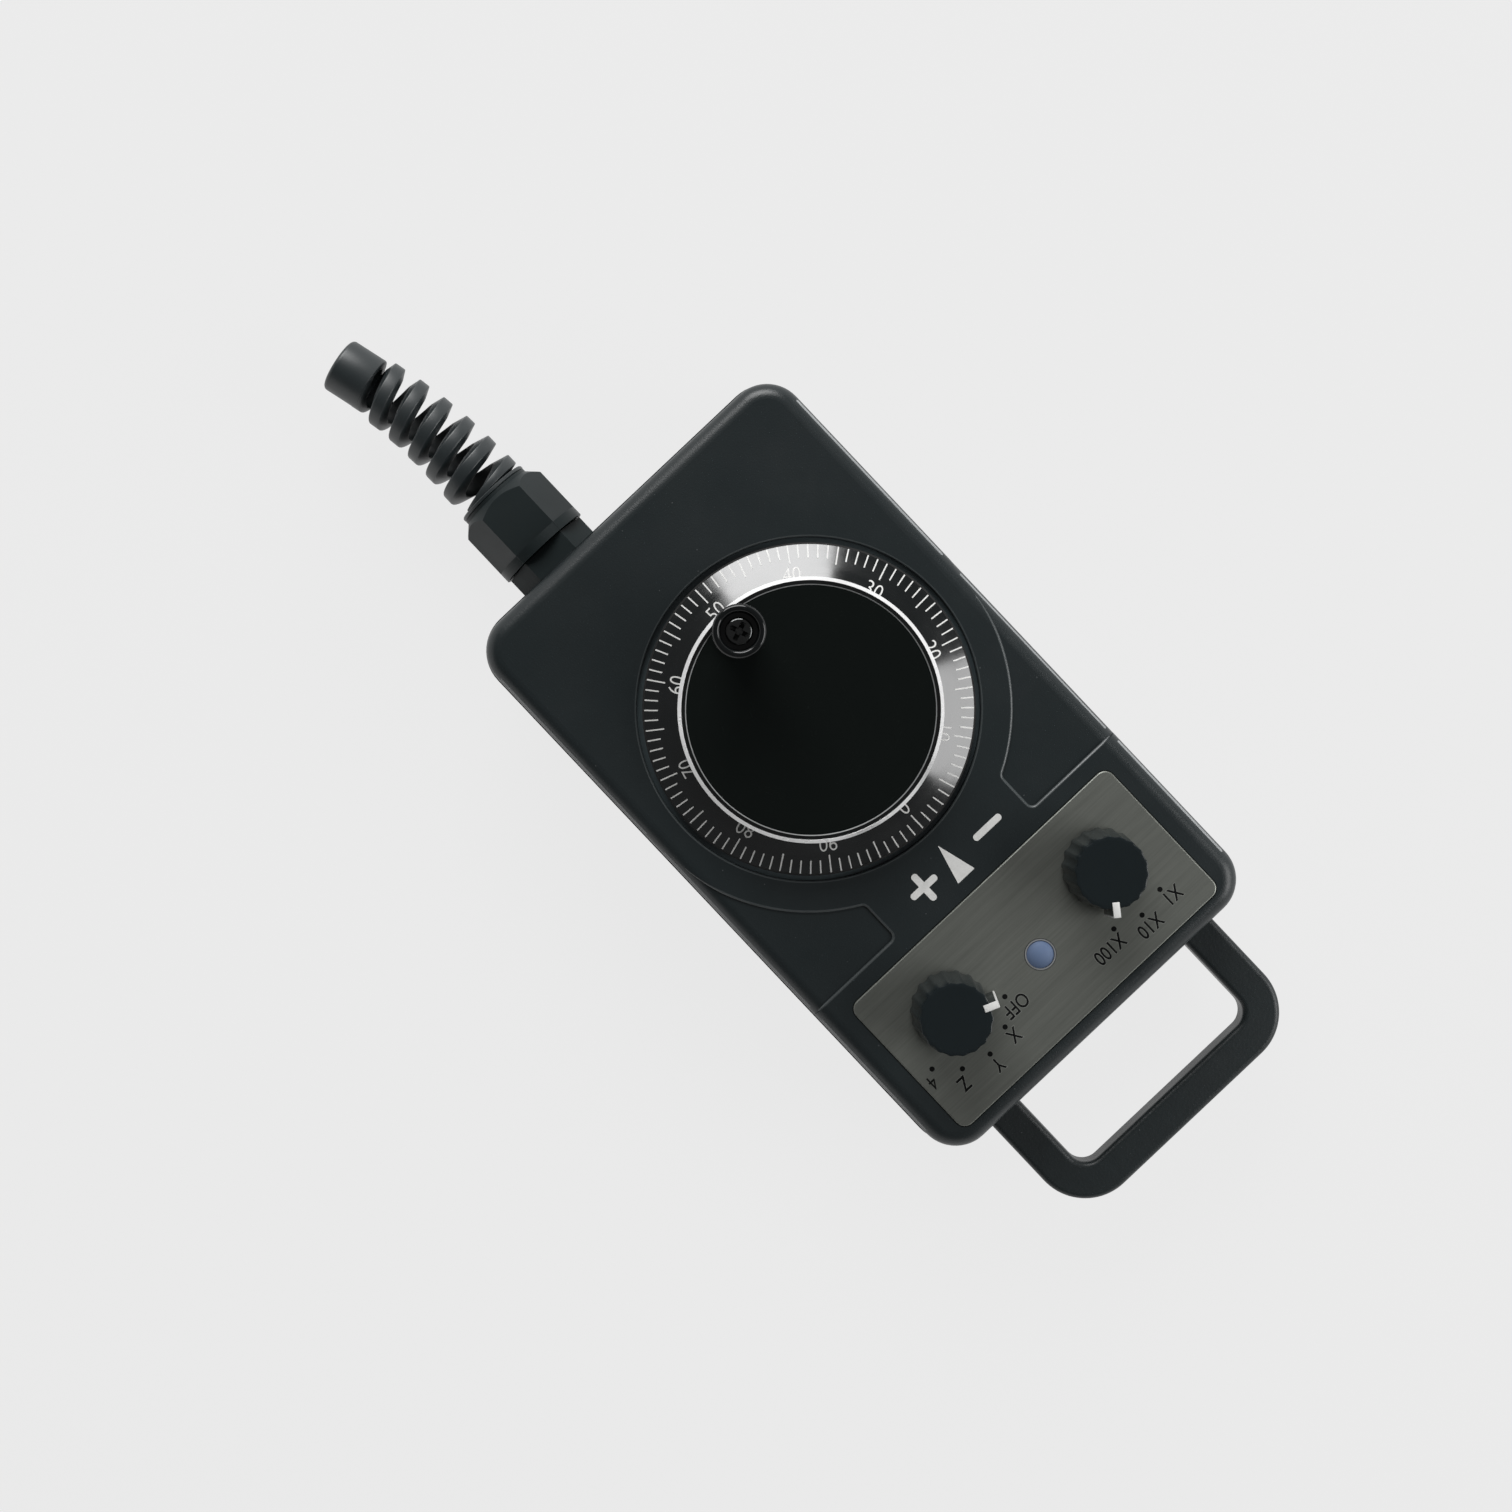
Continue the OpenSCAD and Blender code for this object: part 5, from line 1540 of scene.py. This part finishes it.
@dataclass
class Crank(Assembly):
    """The turning grip of the wheel and the screw that it turns on."""

    head_r: float = 2.4 * MM
    head_h: float = 1.5 * MM
    shank_r: float = 1.5 * MM
    tip_share: float = 0.75
    tip_l: float = 0.4 * MM
    seat_ease: Point = (0.06 * MM, 0.08 * MM)
    crown: float = 0.55 * MM
    crown_flat: float = 0.3
    crown_tip_r: float = 0.02 * MM
    dome_in: float = 0.42
    dome_rise: float = 0.86
    cross_w: float = 0.85 * MM
    cross_l: float = 3.7 * MM
    cross_h: float = 1.1 * MM
    cross_corner_r: float = 0.1 * MM
    cross_edge: float = 0.07 * MM
    cross_taper: Point = (0.35, 0.6)
    cross_turn: float = 0.35
    cut_clear: float = 0.02 * MM
    grip_r: float = 4.67 * MM
    grip_foot_edge: float = 0.15 * MM
    waist_r: float = 3.7 * MM
    waist_share: float = 0.35
    bore_r: float = 1.55 * MM
    recess_r: float = 3.3 * MM
    recess_h: float = 2.4 * MM
    recess_edge: float = 0.1 * MM

    def grip(self) -> bpy.types.Object:
        """Makes the waisted grip with its fully rounded rim, recess and bore.

        Returns:
            The grip, in its place.
        """
        low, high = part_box("crank_grip")
        tall = high[2] - low[2]
        lip = (self.grip_r - self.recess_r) / 2
        waist_z = self.waist_share * tall
        flare_w, flare_z = self.grip_r - self.waist_r, tall - lip - waist_z
        hollow_r = (flare_z**2 / flare_w + flare_w) / 2
        foot_z = self.grip_foot_edge
        side = []
        for k in range(25):
            z = foot_z + (tall - lip - foot_z) * k / 24
            side.append((self.waist_r + hollow_r - math.sqrt(hollow_r**2 - (z - waist_z) ** 2), z))
        rim = arc((self.recess_r + lip, tall - lip), lip, 0, math.pi, 20)
        floor = tall - self.recess_h
        profile = [
            (self.bore_r, 0),
            (side[0][0] - foot_z, 0),
            *side,
            *rim[1:],
            (self.recess_r, floor + self.recess_edge),
            (self.recess_r - self.recess_edge, floor),
            (self.bore_r, floor),
        ]
        piece = Bench.tube("rounded_grip", profile, 128)
        piece.data.transform(Matrix.Translation((*between(low, high), low[2])))
        return piece

    def screw(self) -> bpy.types.Object:
        """Makes the pan-head screw with its cross recess.

        Returns:
            The screw, in its place.
        """
        low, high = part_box("crank_screw")
        top, seat = high[2], high[2] - self.head_h
        dome = [
            (
                self.head_r * (1 - self.dome_in * (1 - across)),
                top - self.crown + self.crown * up * self.dome_rise,
            )
            for across, up in arc((0, 0), 1, 0, math.pi / 2, 8)
        ]
        profile = [
            (self.shank_r * self.tip_share, low[2]),
            (self.shank_r, low[2] + self.tip_l),
            (self.shank_r, seat),
            (self.head_r - self.seat_ease[0], seat),
            (self.head_r, seat + self.seat_ease[1]),
            *dome,
            (self.head_r * self.crown_flat, top),
            (self.crown_tip_r, top),
        ]
        piece = Bench.turned("crank_cross_screw", profile, 64)
        bpy.ops.mesh.merge(type="CENTER")
        Bench.tidy(piece, 40)
        mouth = Matrix.Translation((0, 0, top + self.cut_clear))
        for turn in (self.cross_turn, self.cross_turn + math.pi / 2):
            wing = self.recess_wing()
            wing.data.transform(mouth @ Matrix.Rotation(turn, 4, "Z"))
            Bench.bored(piece, wing)
        Bench.tidy(piece, 30)
        Bench.applied(
            piece, "BEVEL", width=self.cross_edge, segments=2, limit_method="ANGLE",
            angle_limit=math.radians(40), use_clamp_overlap=True,
        )
        Bench.tidy(piece, 50)
        piece.data.transform(Matrix.Translation((*between(low, high), 0)))
        return piece

    def recess_wing(self) -> bpy.types.Object:
        """Makes one of the two tapered wings of the cross recess.

        Returns:
            The cutter, its mouth at z = 0.
        """
        wing = Bench.bar("wing", self.cross_l, self.cross_w, self.cross_h, self.cross_corner_r)
        wing.data.transform(Matrix.Translation((0, 0, -self.cross_h)))
        Bench.pick(wing, "FACE", [face.normal.z < -0.9 for face in wing.data.polygons])
        Bench.widen((*self.cross_taper, 1), (0, 0, -self.cross_h))
        Bench.done()
        return wing

    def build(self) -> None:
        """Builds the screw and the grip and dresses the crank."""
        self.finish_nodes(PLATED, "crank_washer")
        centre = between(*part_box("crank_screw"))
        black = BrightMetal(
            "crank_screw_finish", "plated_steel", (0.1, 0.103, 0.103), 0.1, 4000.0, 0.001 * MM, centre
        )
        self.mount(self.screw(), Body.WHEEL, black, ["crank_screw"])
        self.mount(self.grip(), Body.CRANK, CRANK_BLACK, ["crank_grip"])


@dataclass
class Selectors(Assembly):
    """The two rotary selectors: knobs, pointers, shafts and switches."""

    tall: float = 11.8 * MM
    foot_r: float = 7.25 * MM
    foot_edge: float = 0.1 * MM
    top_r: float = 6.5 * MM
    edge: float = 0.28 * MM
    pocket_r: float = 6.12 * MM
    pocket_h: float = 2.6 * MM
    pocket_middle_r: float = 2.0 * MM
    flutes: int = 18
    flute_sides: int = 16
    flute_depth: float = 0.34 * MM
    flute_fade: float = 0.5
    flute_share: float = 0.38
    pointer_w: float = 1.28 * MM
    pointer_in_r: float = 5.15 * MM
    pointer_out_r: float = 7.9 * MM
    pointer_foot_r: float = 8.6 * MM
    pointer_foot: float = 0.7 * MM
    pointer_rise: float = 0.15 * MM
    strip: float = 0.33 * MM
    strip_overlap: float = 0.03 * MM
    rib_root: float = 0.9 * MM

    def flute(self, skirt: bpy.types.Object) -> None:
        """Cuts the scallops into a knob's side, shallower towards the top.

        Args:
            skirt: The plain knob.
        """
        for vertex in skirt.data.vertices:
            out = math.hypot(vertex.co.x, vertex.co.y)
            if out < self.pocket_r + 0.01 * MM:
                continue
            turn = math.atan2(vertex.co.y, vertex.co.x) / (2 * math.pi) * self.flutes
            across = (turn - math.floor(turn) - 0.5) / self.flute_share
            fade = 1 - self.flute_fade * vertex.co.z / self.tall
            cut = self.flute_depth * fade * max(0.0, 1 - across**2)
            vertex.co.x *= (out - cut) / out
            vertex.co.y *= (out - cut) / out

    def knob(self, name: str, place: Matrix) -> bpy.types.Object:
        """Makes a fluted knob with its hollow foot and the dark rib under the pointer.

        Args:
            name: The piece's name.
            place: Its place, with +X along the pointer.

        Returns:
            The knob, in its place.
        """
        profile = [
            (self.pocket_middle_r, self.pocket_h),
            (self.pocket_r, self.pocket_h),
            (self.pocket_r, 0),
            (self.foot_r - self.foot_edge, 0),
            (self.foot_r, self.foot_edge),
            (self.top_r, self.tall - self.edge),
            (self.top_r - 0.3 * self.edge, self.tall - 0.3 * self.edge),
            (self.top_r - self.edge, self.tall),
            (self.top_r - 3 * self.edge, self.tall),
        ]
        piece = Bench.turned(name, profile, self.flute_sides * self.flutes)
        Bench.done()
        self.flute(piece)
        rib_top = self.tall + self.pointer_rise - self.strip
        outline = [
            (self.top_r - self.rib_root, self.tall - self.rib_root),
            (self.top_r - self.rib_root, rib_top),
            (self.pointer_out_r - self.strip, rib_top),
            (self.pointer_foot_r - self.strip, self.pointer_foot),
            (self.foot_r - self.rib_root, self.pointer_foot),
        ]
        rib = Bench.slab("rib", outline, self.pointer_w - self.strip_overlap)
        Bench.tidy(piece, 30)
        piece = Bench.joined([piece, rib], name)
        piece.data.transform(place)
        return piece

    def pointer(self, name: str, place: Matrix) -> bpy.types.Object:
        """Makes the white pointer, which runs over the knob's top and down its side.

        Args:
            name: The piece's name.
            place: Its place, with +X along the pointer.

        Returns:
            The pointer, in its place.
        """
        top = self.tall + self.pointer_rise
        strip = self.strip + self.strip_overlap
        outline = [
            (self.pointer_in_r, top - strip),
            (self.pointer_in_r, top),
            (self.pointer_out_r, top),
            (self.pointer_foot_r, self.pointer_foot),
            (self.pointer_foot_r - strip, self.pointer_foot),
            (self.pointer_out_r - strip, top - strip),
        ]
        piece = Bench.slab(name, outline, self.pointer_w)
        piece.data.transform(place)
        return piece

    def build(self) -> None:
        """Builds the knobs and pointers and dresses the shafts and switches."""
        for side in ("axis", "multiplier"):
            x, y = KNOB_SPOTS[side]
            tip_x, tip_y = between(*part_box(f"{side}_pointer"))
            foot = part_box(f"{side}_knob")[0][2]
            turn = math.atan2(tip_y - y, tip_x - x)
            place = Matrix.Translation((x, y, foot)) @ Matrix.Rotation(turn, 4, "Z")
            body = Body(f"{side}_selector")
            self.mount(self.knob(f"{side}_fluted_knob", place), body, KNOB, [f"{side}_knob"])
            pointer = self.pointer(f"{side}_white_pointer", place)
            self.mount(pointer, body, PRINT_WHITE, [f"{side}_pointer"])
        self.finish_nodes(PLATED, "axis_shaft", "multiplier_shaft")
        self.finish_nodes(PLATED, "axis_switch_nut", "multiplier_switch_nut")
        self.finish_nodes(HIDDEN_BLACK, "axis_switch", "multiplier_switch")


@dataclass
class CableEntry(Assembly):
    """The cable gland and its spiral bend guard."""

    start: tuple[float, float, float] = (15.1 * MM, -69.45 * MM, 13.0 * MM)
    turns: float = 6.0
    overlap: float = 0.35
    pitch: float = 5.17 * MM
    phase_deg: float = 40.0
    turn_steps: int = 36
    first_share: float = 0.3
    straight: float = 8.0 * MM
    bend_r: float = 95.0 * MM
    bore_r: float = 3.5 * MM
    inner_r: float = 3.9 * MM
    root_r: float = 7.2 * MM
    tip_r: float = 6.0 * MM
    tip_at: float = 0.9
    run_out: float = 0.12
    inner_w: float = 3.8 * MM
    outer_w: float = 2.2 * MM
    strip_edge: float = 0.22 * MM
    sleeve_r: float = 5.3 * MM
    sleeve_l: float = 6.7 * MM
    sleeve_edge: float = 0.8 * MM
    sleeve_back: float = 0.7 * MM
    sleeve_ease: float = 0.25 * MM
    collar_r: float = 7.35 * MM
    collar_l: float = 0.8 * MM
    collar_ease: float = 0.2 * MM
    neck_r: float = 5.4 * MM
    flange_r: float = 6.7 * MM
    flange_l: float = 1.8 * MM
    nut_wall: float = 2.4 * MM
    joint_lap: float = 0.05 * MM

    def heading(self, s: float) -> float:
        """Gives how far the guard has turned at a distance along it, in radians."""
        return max(0.0, s - self.straight) / self.bend_r

    def middle(self, s: float) -> Vector:
        """Gives the guard's middle line, straight at first and then bent.

        Args:
            s: The distance along the guard.

        Returns:
            The point on the line, measured from its start.
        """
        h = self.heading(s)
        return Vector(
            (self.bend_r * (1 - math.cos(h)), -min(s, self.straight) - self.bend_r * math.sin(h), 0)
        )

    def strip_r(self, s: float) -> float:
        """Gives the outer radius of the spiral strip.

        Args:
            s: The distance along the guard.

        Returns:
            The radius, which tapers to the tip's and then runs out into the sleeve.
        """
        t = s / (self.turns * self.pitch)
        if t <= self.tip_at:
            return self.root_r - (self.root_r - self.tip_r) * t / self.tip_at
        end = self.sleeve_r - self.sleeve_ease
        return self.tip_r + (end - self.tip_r) * min(1.0, (t - self.tip_at) / self.run_out)

    def section(self) -> bpy.types.Object:
        """Makes the outline of the strip's section, with eased corners.

        Returns:
            The outline in the XZ plane, at the root's distance from the axis.
        """
        depth = self.root_r - self.inner_r
        middle_r = self.inner_r + depth / 2
        Bench.clear()
        bpy.ops.mesh.primitive_plane_add(size=1)
        piece = Bench.named("strip")
        Bench.shape()
        Bench.widen((depth, self.inner_w, 1))
        bpy.ops.transform.translate(value=(middle_r, 0, 0))
        Bench.done()
        ends = piece.data.vertices
        outer = [all(ends[end].co.x > middle_r for end in edge.vertices) for edge in piece.data.edges]
        Bench.pick(piece, "EDGE", outer)
        Bench.widen((1, self.outer_w / self.inner_w, 1), (self.root_r, 0, 0))
        bpy.ops.mesh.select_all(action="SELECT")
        bpy.ops.mesh.bevel(offset=self.strip_edge, segments=3, affect="VERTICES")
        bpy.ops.mesh.select_all(action="SELECT")
        bpy.ops.mesh.delete(type="ONLY_FACE")
        bpy.ops.mesh.select_all(action="SELECT")
        bpy.ops.transform.rotate(value=-math.pi / 2, orient_axis="X", center_override=(0, 0, 0))
        Bench.done()
        return piece

    def strip(self) -> bpy.types.Object:
        """Makes the spiral strip: its section wound, tapered and bent with the guard.

        Returns:
            The strip, in its place.
        """
        piece = self.section()
        section = [v.co.copy() for v in piece.data.vertices]
        depth = self.root_r - self.inner_r
        whole = self.turns + self.overlap
        steps = int(whole * self.turn_steps)
        Bench.applied(
            piece, "SCREW", axis="Z", angle=2 * math.pi * whole, screw_offset=self.pitch * whole,
            steps=steps, render_steps=steps, use_merge_vertices=False,
        )
        rings = len(piece.data.vertices) // len(section)
        for index, vertex in enumerate(piece.data.vertices):
            corner = section[index % len(section)]
            share = (index // len(section)) / (rings - 1)
            s = share * whole * self.pitch
            angle = math.radians(self.phase_deg) + share * whole * 2 * math.pi
            h = self.heading(s)
            along = corner.z * min(1.0, self.first_share + 2 * s / self.pitch)
            radius = self.inner_r + (corner.x - self.inner_r) / depth * (self.strip_r(s) - self.inner_r)
            ahead = Vector((math.sin(h), -math.cos(h), 0))
            aside = Vector((math.cos(angle) * math.cos(h), math.cos(angle) * math.sin(h), math.sin(angle)))
            vertex.co = self.middle(s) + ahead * along + aside * radius + Vector(self.start)
        Bench.focus(piece)
        Bench.shape()
        bpy.ops.mesh.fill_holes(sides=0)
        Bench.done()
        Bench.tidy(piece, 50)
        return piece

    def sleeve(self) -> bpy.types.Object:
        """Makes the plain sleeve at the guard's tip.

        Returns:
            The sleeve, in its place.
        """
        ease, foot, end, round_r = self.sleeve_ease, -self.sleeve_back, self.sleeve_l, self.sleeve_edge
        profile = [
            (self.bore_r, foot),
            (self.sleeve_r - ease, foot),
            (self.sleeve_r - ease * 0.3, foot + ease * 0.3),
            (self.sleeve_r, foot + ease),
            *arc((self.sleeve_r - round_r, end - round_r), round_r, 0, math.pi / 2, 6),
            (self.bore_r + ease, end),
            (self.bore_r, end - ease),
        ]
        piece = Bench.tube("sleeve", profile, 96)
        tip = self.turns * self.pitch
        piece.data.transform(
            Matrix.Translation(Vector(self.start) + self.middle(tip))
            @ Matrix.Rotation(self.heading(tip), 4, "Z")
            @ Matrix.Rotation(math.pi / 2, 4, "X")
        )
        return piece

    def collar(self) -> bpy.types.Object:
        """Makes the guard's root: collar, neck and flange.

        Returns:
            The root, in its place.
        """
        ease = self.collar_ease
        back = -self.nut_wall - self.joint_lap
        profile = [
            (self.bore_r, back - self.flange_l),
            (self.flange_r, back - self.flange_l),
            (self.flange_r, back),
            (self.neck_r, back),
            (self.neck_r, 0),
            (self.collar_r - ease, 0),
            (self.collar_r, ease),
            (self.collar_r, self.collar_l - ease),
            (self.collar_r - ease, self.collar_l),
            (self.bore_r, self.collar_l),
        ]
        piece = Bench.tube("collar", profile, 96)
        root = Vector(self.start) + Vector((0, self.collar_l - self.joint_lap, 0))
        piece.data.transform(Matrix.Translation(root) @ Matrix.Rotation(math.pi / 2, 4, "X"))
        return piece

    def build(self) -> None:
        """Builds the guard and dresses the cable entry."""
        guard = Bench.joined([self.strip(), self.sleeve(), self.collar()], "spiral_guard")
        self.mount(guard, Body.CASE, NYLON, ["bend_guard"])
        self.finish_nodes(NUT_NYLON, "gland_nut")
        self.finish_nodes(MATT_NYLON, "gland_body", "gland_lock_nut")
        self.finish_nodes(SEAL, "gland_seal")


class Works(Assembly):
    """The encoder and the boards inside the case."""

    def build(self) -> None:
        """Dresses the parts inside the case."""
        self.finish_nodes(HIDDEN_BLACK, "encoder_cup", "encoder_sensor")
        self.finish_nodes(PLATED, "encoder_screws", "board_screws", "detent_spring")
        self.finish_nodes(BOARD, "encoder_board", "main_board", "encoder_terminals", "board_terminals")


# ------------------------------------------------------------------------------ studio


@dataclass
class Studio:
    """The floor, the low wall, the lamps, the world and the camera."""

    floor_r: float = 2.9
    floor_z: float = -0.05 * MM
    wall_h: float = 1.3
    pale: float = 0.838
    own_light: float = 0.95
    world_level: float = 0.12
    lamp_size: Point = (0.73, 0.5)
    lamp_distance: float = 1.0
    lamp_elevation: float = 33.0
    lamp_bearings: Point = (131.0, 238.0)
    lamp_powers: Point = (5.0, 9.0)
    camera_at: tuple[float, float, float] = (7.8 * MM, -20.15 * MM, 482.0 * MM)
    image_up: Point = (-0.686, -0.7276)
    focal: float = 59.52
    sensor_w: float = 36.0
    shift: Point = (0.0367, -0.0654)

    def backdrop_material(self, name: str, fades: bool) -> bpy.types.Material:
        """Makes the pale finish of the floor or the wall.

        Args:
            name: The material's name.
            fades: Whether it fades to the world's level at the wall's top.

        Returns:
            The material.
        """
        made = bpy.data.materials.new(name)
        made.use_nodes = True
        made.node_tree.nodes.clear()
        recipe = Recipe(made.node_tree)
        grey = rgba((self.pale,) * 3)
        where = recipe.add("TexCoord").outputs["Object"]
        if fades:
            height = recipe.add("SeparateXYZ", {0: where}).outputs[2]
            level = recipe.span(height, 0.55 * self.wall_h, self.wall_h, (1.0, self.world_level))
        else:
            level = recipe.span(recipe.noise(where, 3.0), 0.0, 1.0, (0.995, 1.0))
        path = recipe.add("LightPath").outputs
        seen = recipe.maths("MAXIMUM", path["Is Camera Ray"], path["Is Glossy Ray"])
        seen = recipe.maths("MAXIMUM", seen, path["Is Transmission Ray"])
        share = recipe.maths("MULTIPLY", seen, self.own_light)
        matt = recipe.add("BsdfDiffuse", {"Color": grey}).outputs[0]
        glow = recipe.add("Emission", {"Color": grey, "Strength": level}).outputs[0]
        mixed = recipe.add("MixShader", {0: share, 1: matt, 2: glow}).outputs[0]
        clear = recipe.add("BsdfTransparent").outputs[0]
        behind = recipe.add("NewGeometry").outputs["Backfacing"]
        both = recipe.add("MixShader", {0: behind, 1: mixed, 2: clear}).outputs[0]
        recipe.add("OutputMaterial", {"Surface": both})
        return made

    def circle(self, name: str, fill: str) -> bpy.types.Object:
        """Makes a circle as wide as the floor, just below the pendant.

        Args:
            name: The piece's name.
            fill: NGON for a disc, NOTHING for a bare edge.

        Returns:
            The circle.
        """
        Bench.clear()
        bpy.ops.mesh.primitive_circle_add(
            vertices=128, radius=self.floor_r, fill_type=fill, location=(0, 0, self.floor_z)
        )
        piece = Bench.named(name)
        bpy.ops.object.transform_apply()
        return piece

    def backdrop(self) -> None:
        """Builds the floor and the low wall round it."""
        floor = self.circle("studio_floor", "NGON")
        floor.data.materials.append(self.backdrop_material("studio_floor_finish", False))
        wall = self.circle("studio_wall", "NOTHING")
        Bench.shape()
        bpy.ops.mesh.extrude_edges_move(TRANSFORM_OT_translate={"value": (0, 0, self.wall_h)})
        bpy.ops.mesh.select_all(action="SELECT")
        bpy.ops.mesh.normals_make_consistent(inside=True)
        Bench.done()
        wall.data.materials.append(self.backdrop_material("studio_wall_finish", True))

    def lamps(self) -> None:
        """Hangs the two soft lamps."""
        rise = math.radians(self.lamp_elevation)
        for number, bearing in enumerate(self.lamp_bearings):
            lamp = bpy.data.lights.new(f"soft_lamp_{number}", "AREA")
            lamp.shape = "RECTANGLE"
            lamp.size, lamp.size_y = self.lamp_size
            lamp.energy = self.lamp_powers[number]
            holder = Bench.hold(lamp)
            turn = math.radians(bearing)
            away = Vector(
                (math.cos(rise) * math.cos(turn), math.cos(rise) * math.sin(turn), math.sin(rise))
            )
            holder.location = away * self.lamp_distance
            holder.rotation_euler = away.to_track_quat("Z", "Y").to_euler()

    def world(self) -> None:
        """Sets the dim even light of the room."""
        made = bpy.data.worlds.new("room")
        bpy.context.scene.world = made
        made.use_nodes = True
        back = made.node_tree.nodes["Background"]
        back.inputs[0].default_value = rgba((1.0, 1.0, 1.0))
        back.inputs[1].default_value = self.world_level

    def camera(self) -> None:
        """Sets up the camera, looking straight down."""
        lens = bpy.data.cameras.new("camera")
        lens.lens = self.focal
        lens.sensor_width = self.sensor_w
        lens.shift_x, lens.shift_y = self.shift
        holder = Bench.hold(lens)
        up = Vector((*self.image_up, 0)).normalized()
        right = up.cross(Vector((0, 0, 1)))
        facing = Matrix((right, up, Vector((0, 0, 1)))).transposed().to_4x4()
        holder.matrix_world = Matrix.Translation(self.camera_at) @ facing
        bpy.context.scene.camera = holder

    def build(self) -> None:
        """Sets the camera, stage, lamps and world."""
        self.camera()
        self.backdrop()
        self.lamps()
        self.world()
        bpy.context.scene.view_settings.view_transform = "Standard"


def main() -> None:
    """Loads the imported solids, builds and dresses every sub-assembly, and sets the studio."""
    logging.basicConfig(level=logging.INFO, format="%(name)s: %(message)s")
    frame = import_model()
    nodes = frame["nodes"]
    Studio().build()
    for assembly in (Housing, HangerLoop, LegendPlate, Dial, Crank, Selectors, CableEntry, Works):
        LOG.info("building %s", assembly.__name__)
        assembly(nodes).build()
    Bench.clear()
    LOG.info("sizes written")


if __name__ == "__main__":
    main()
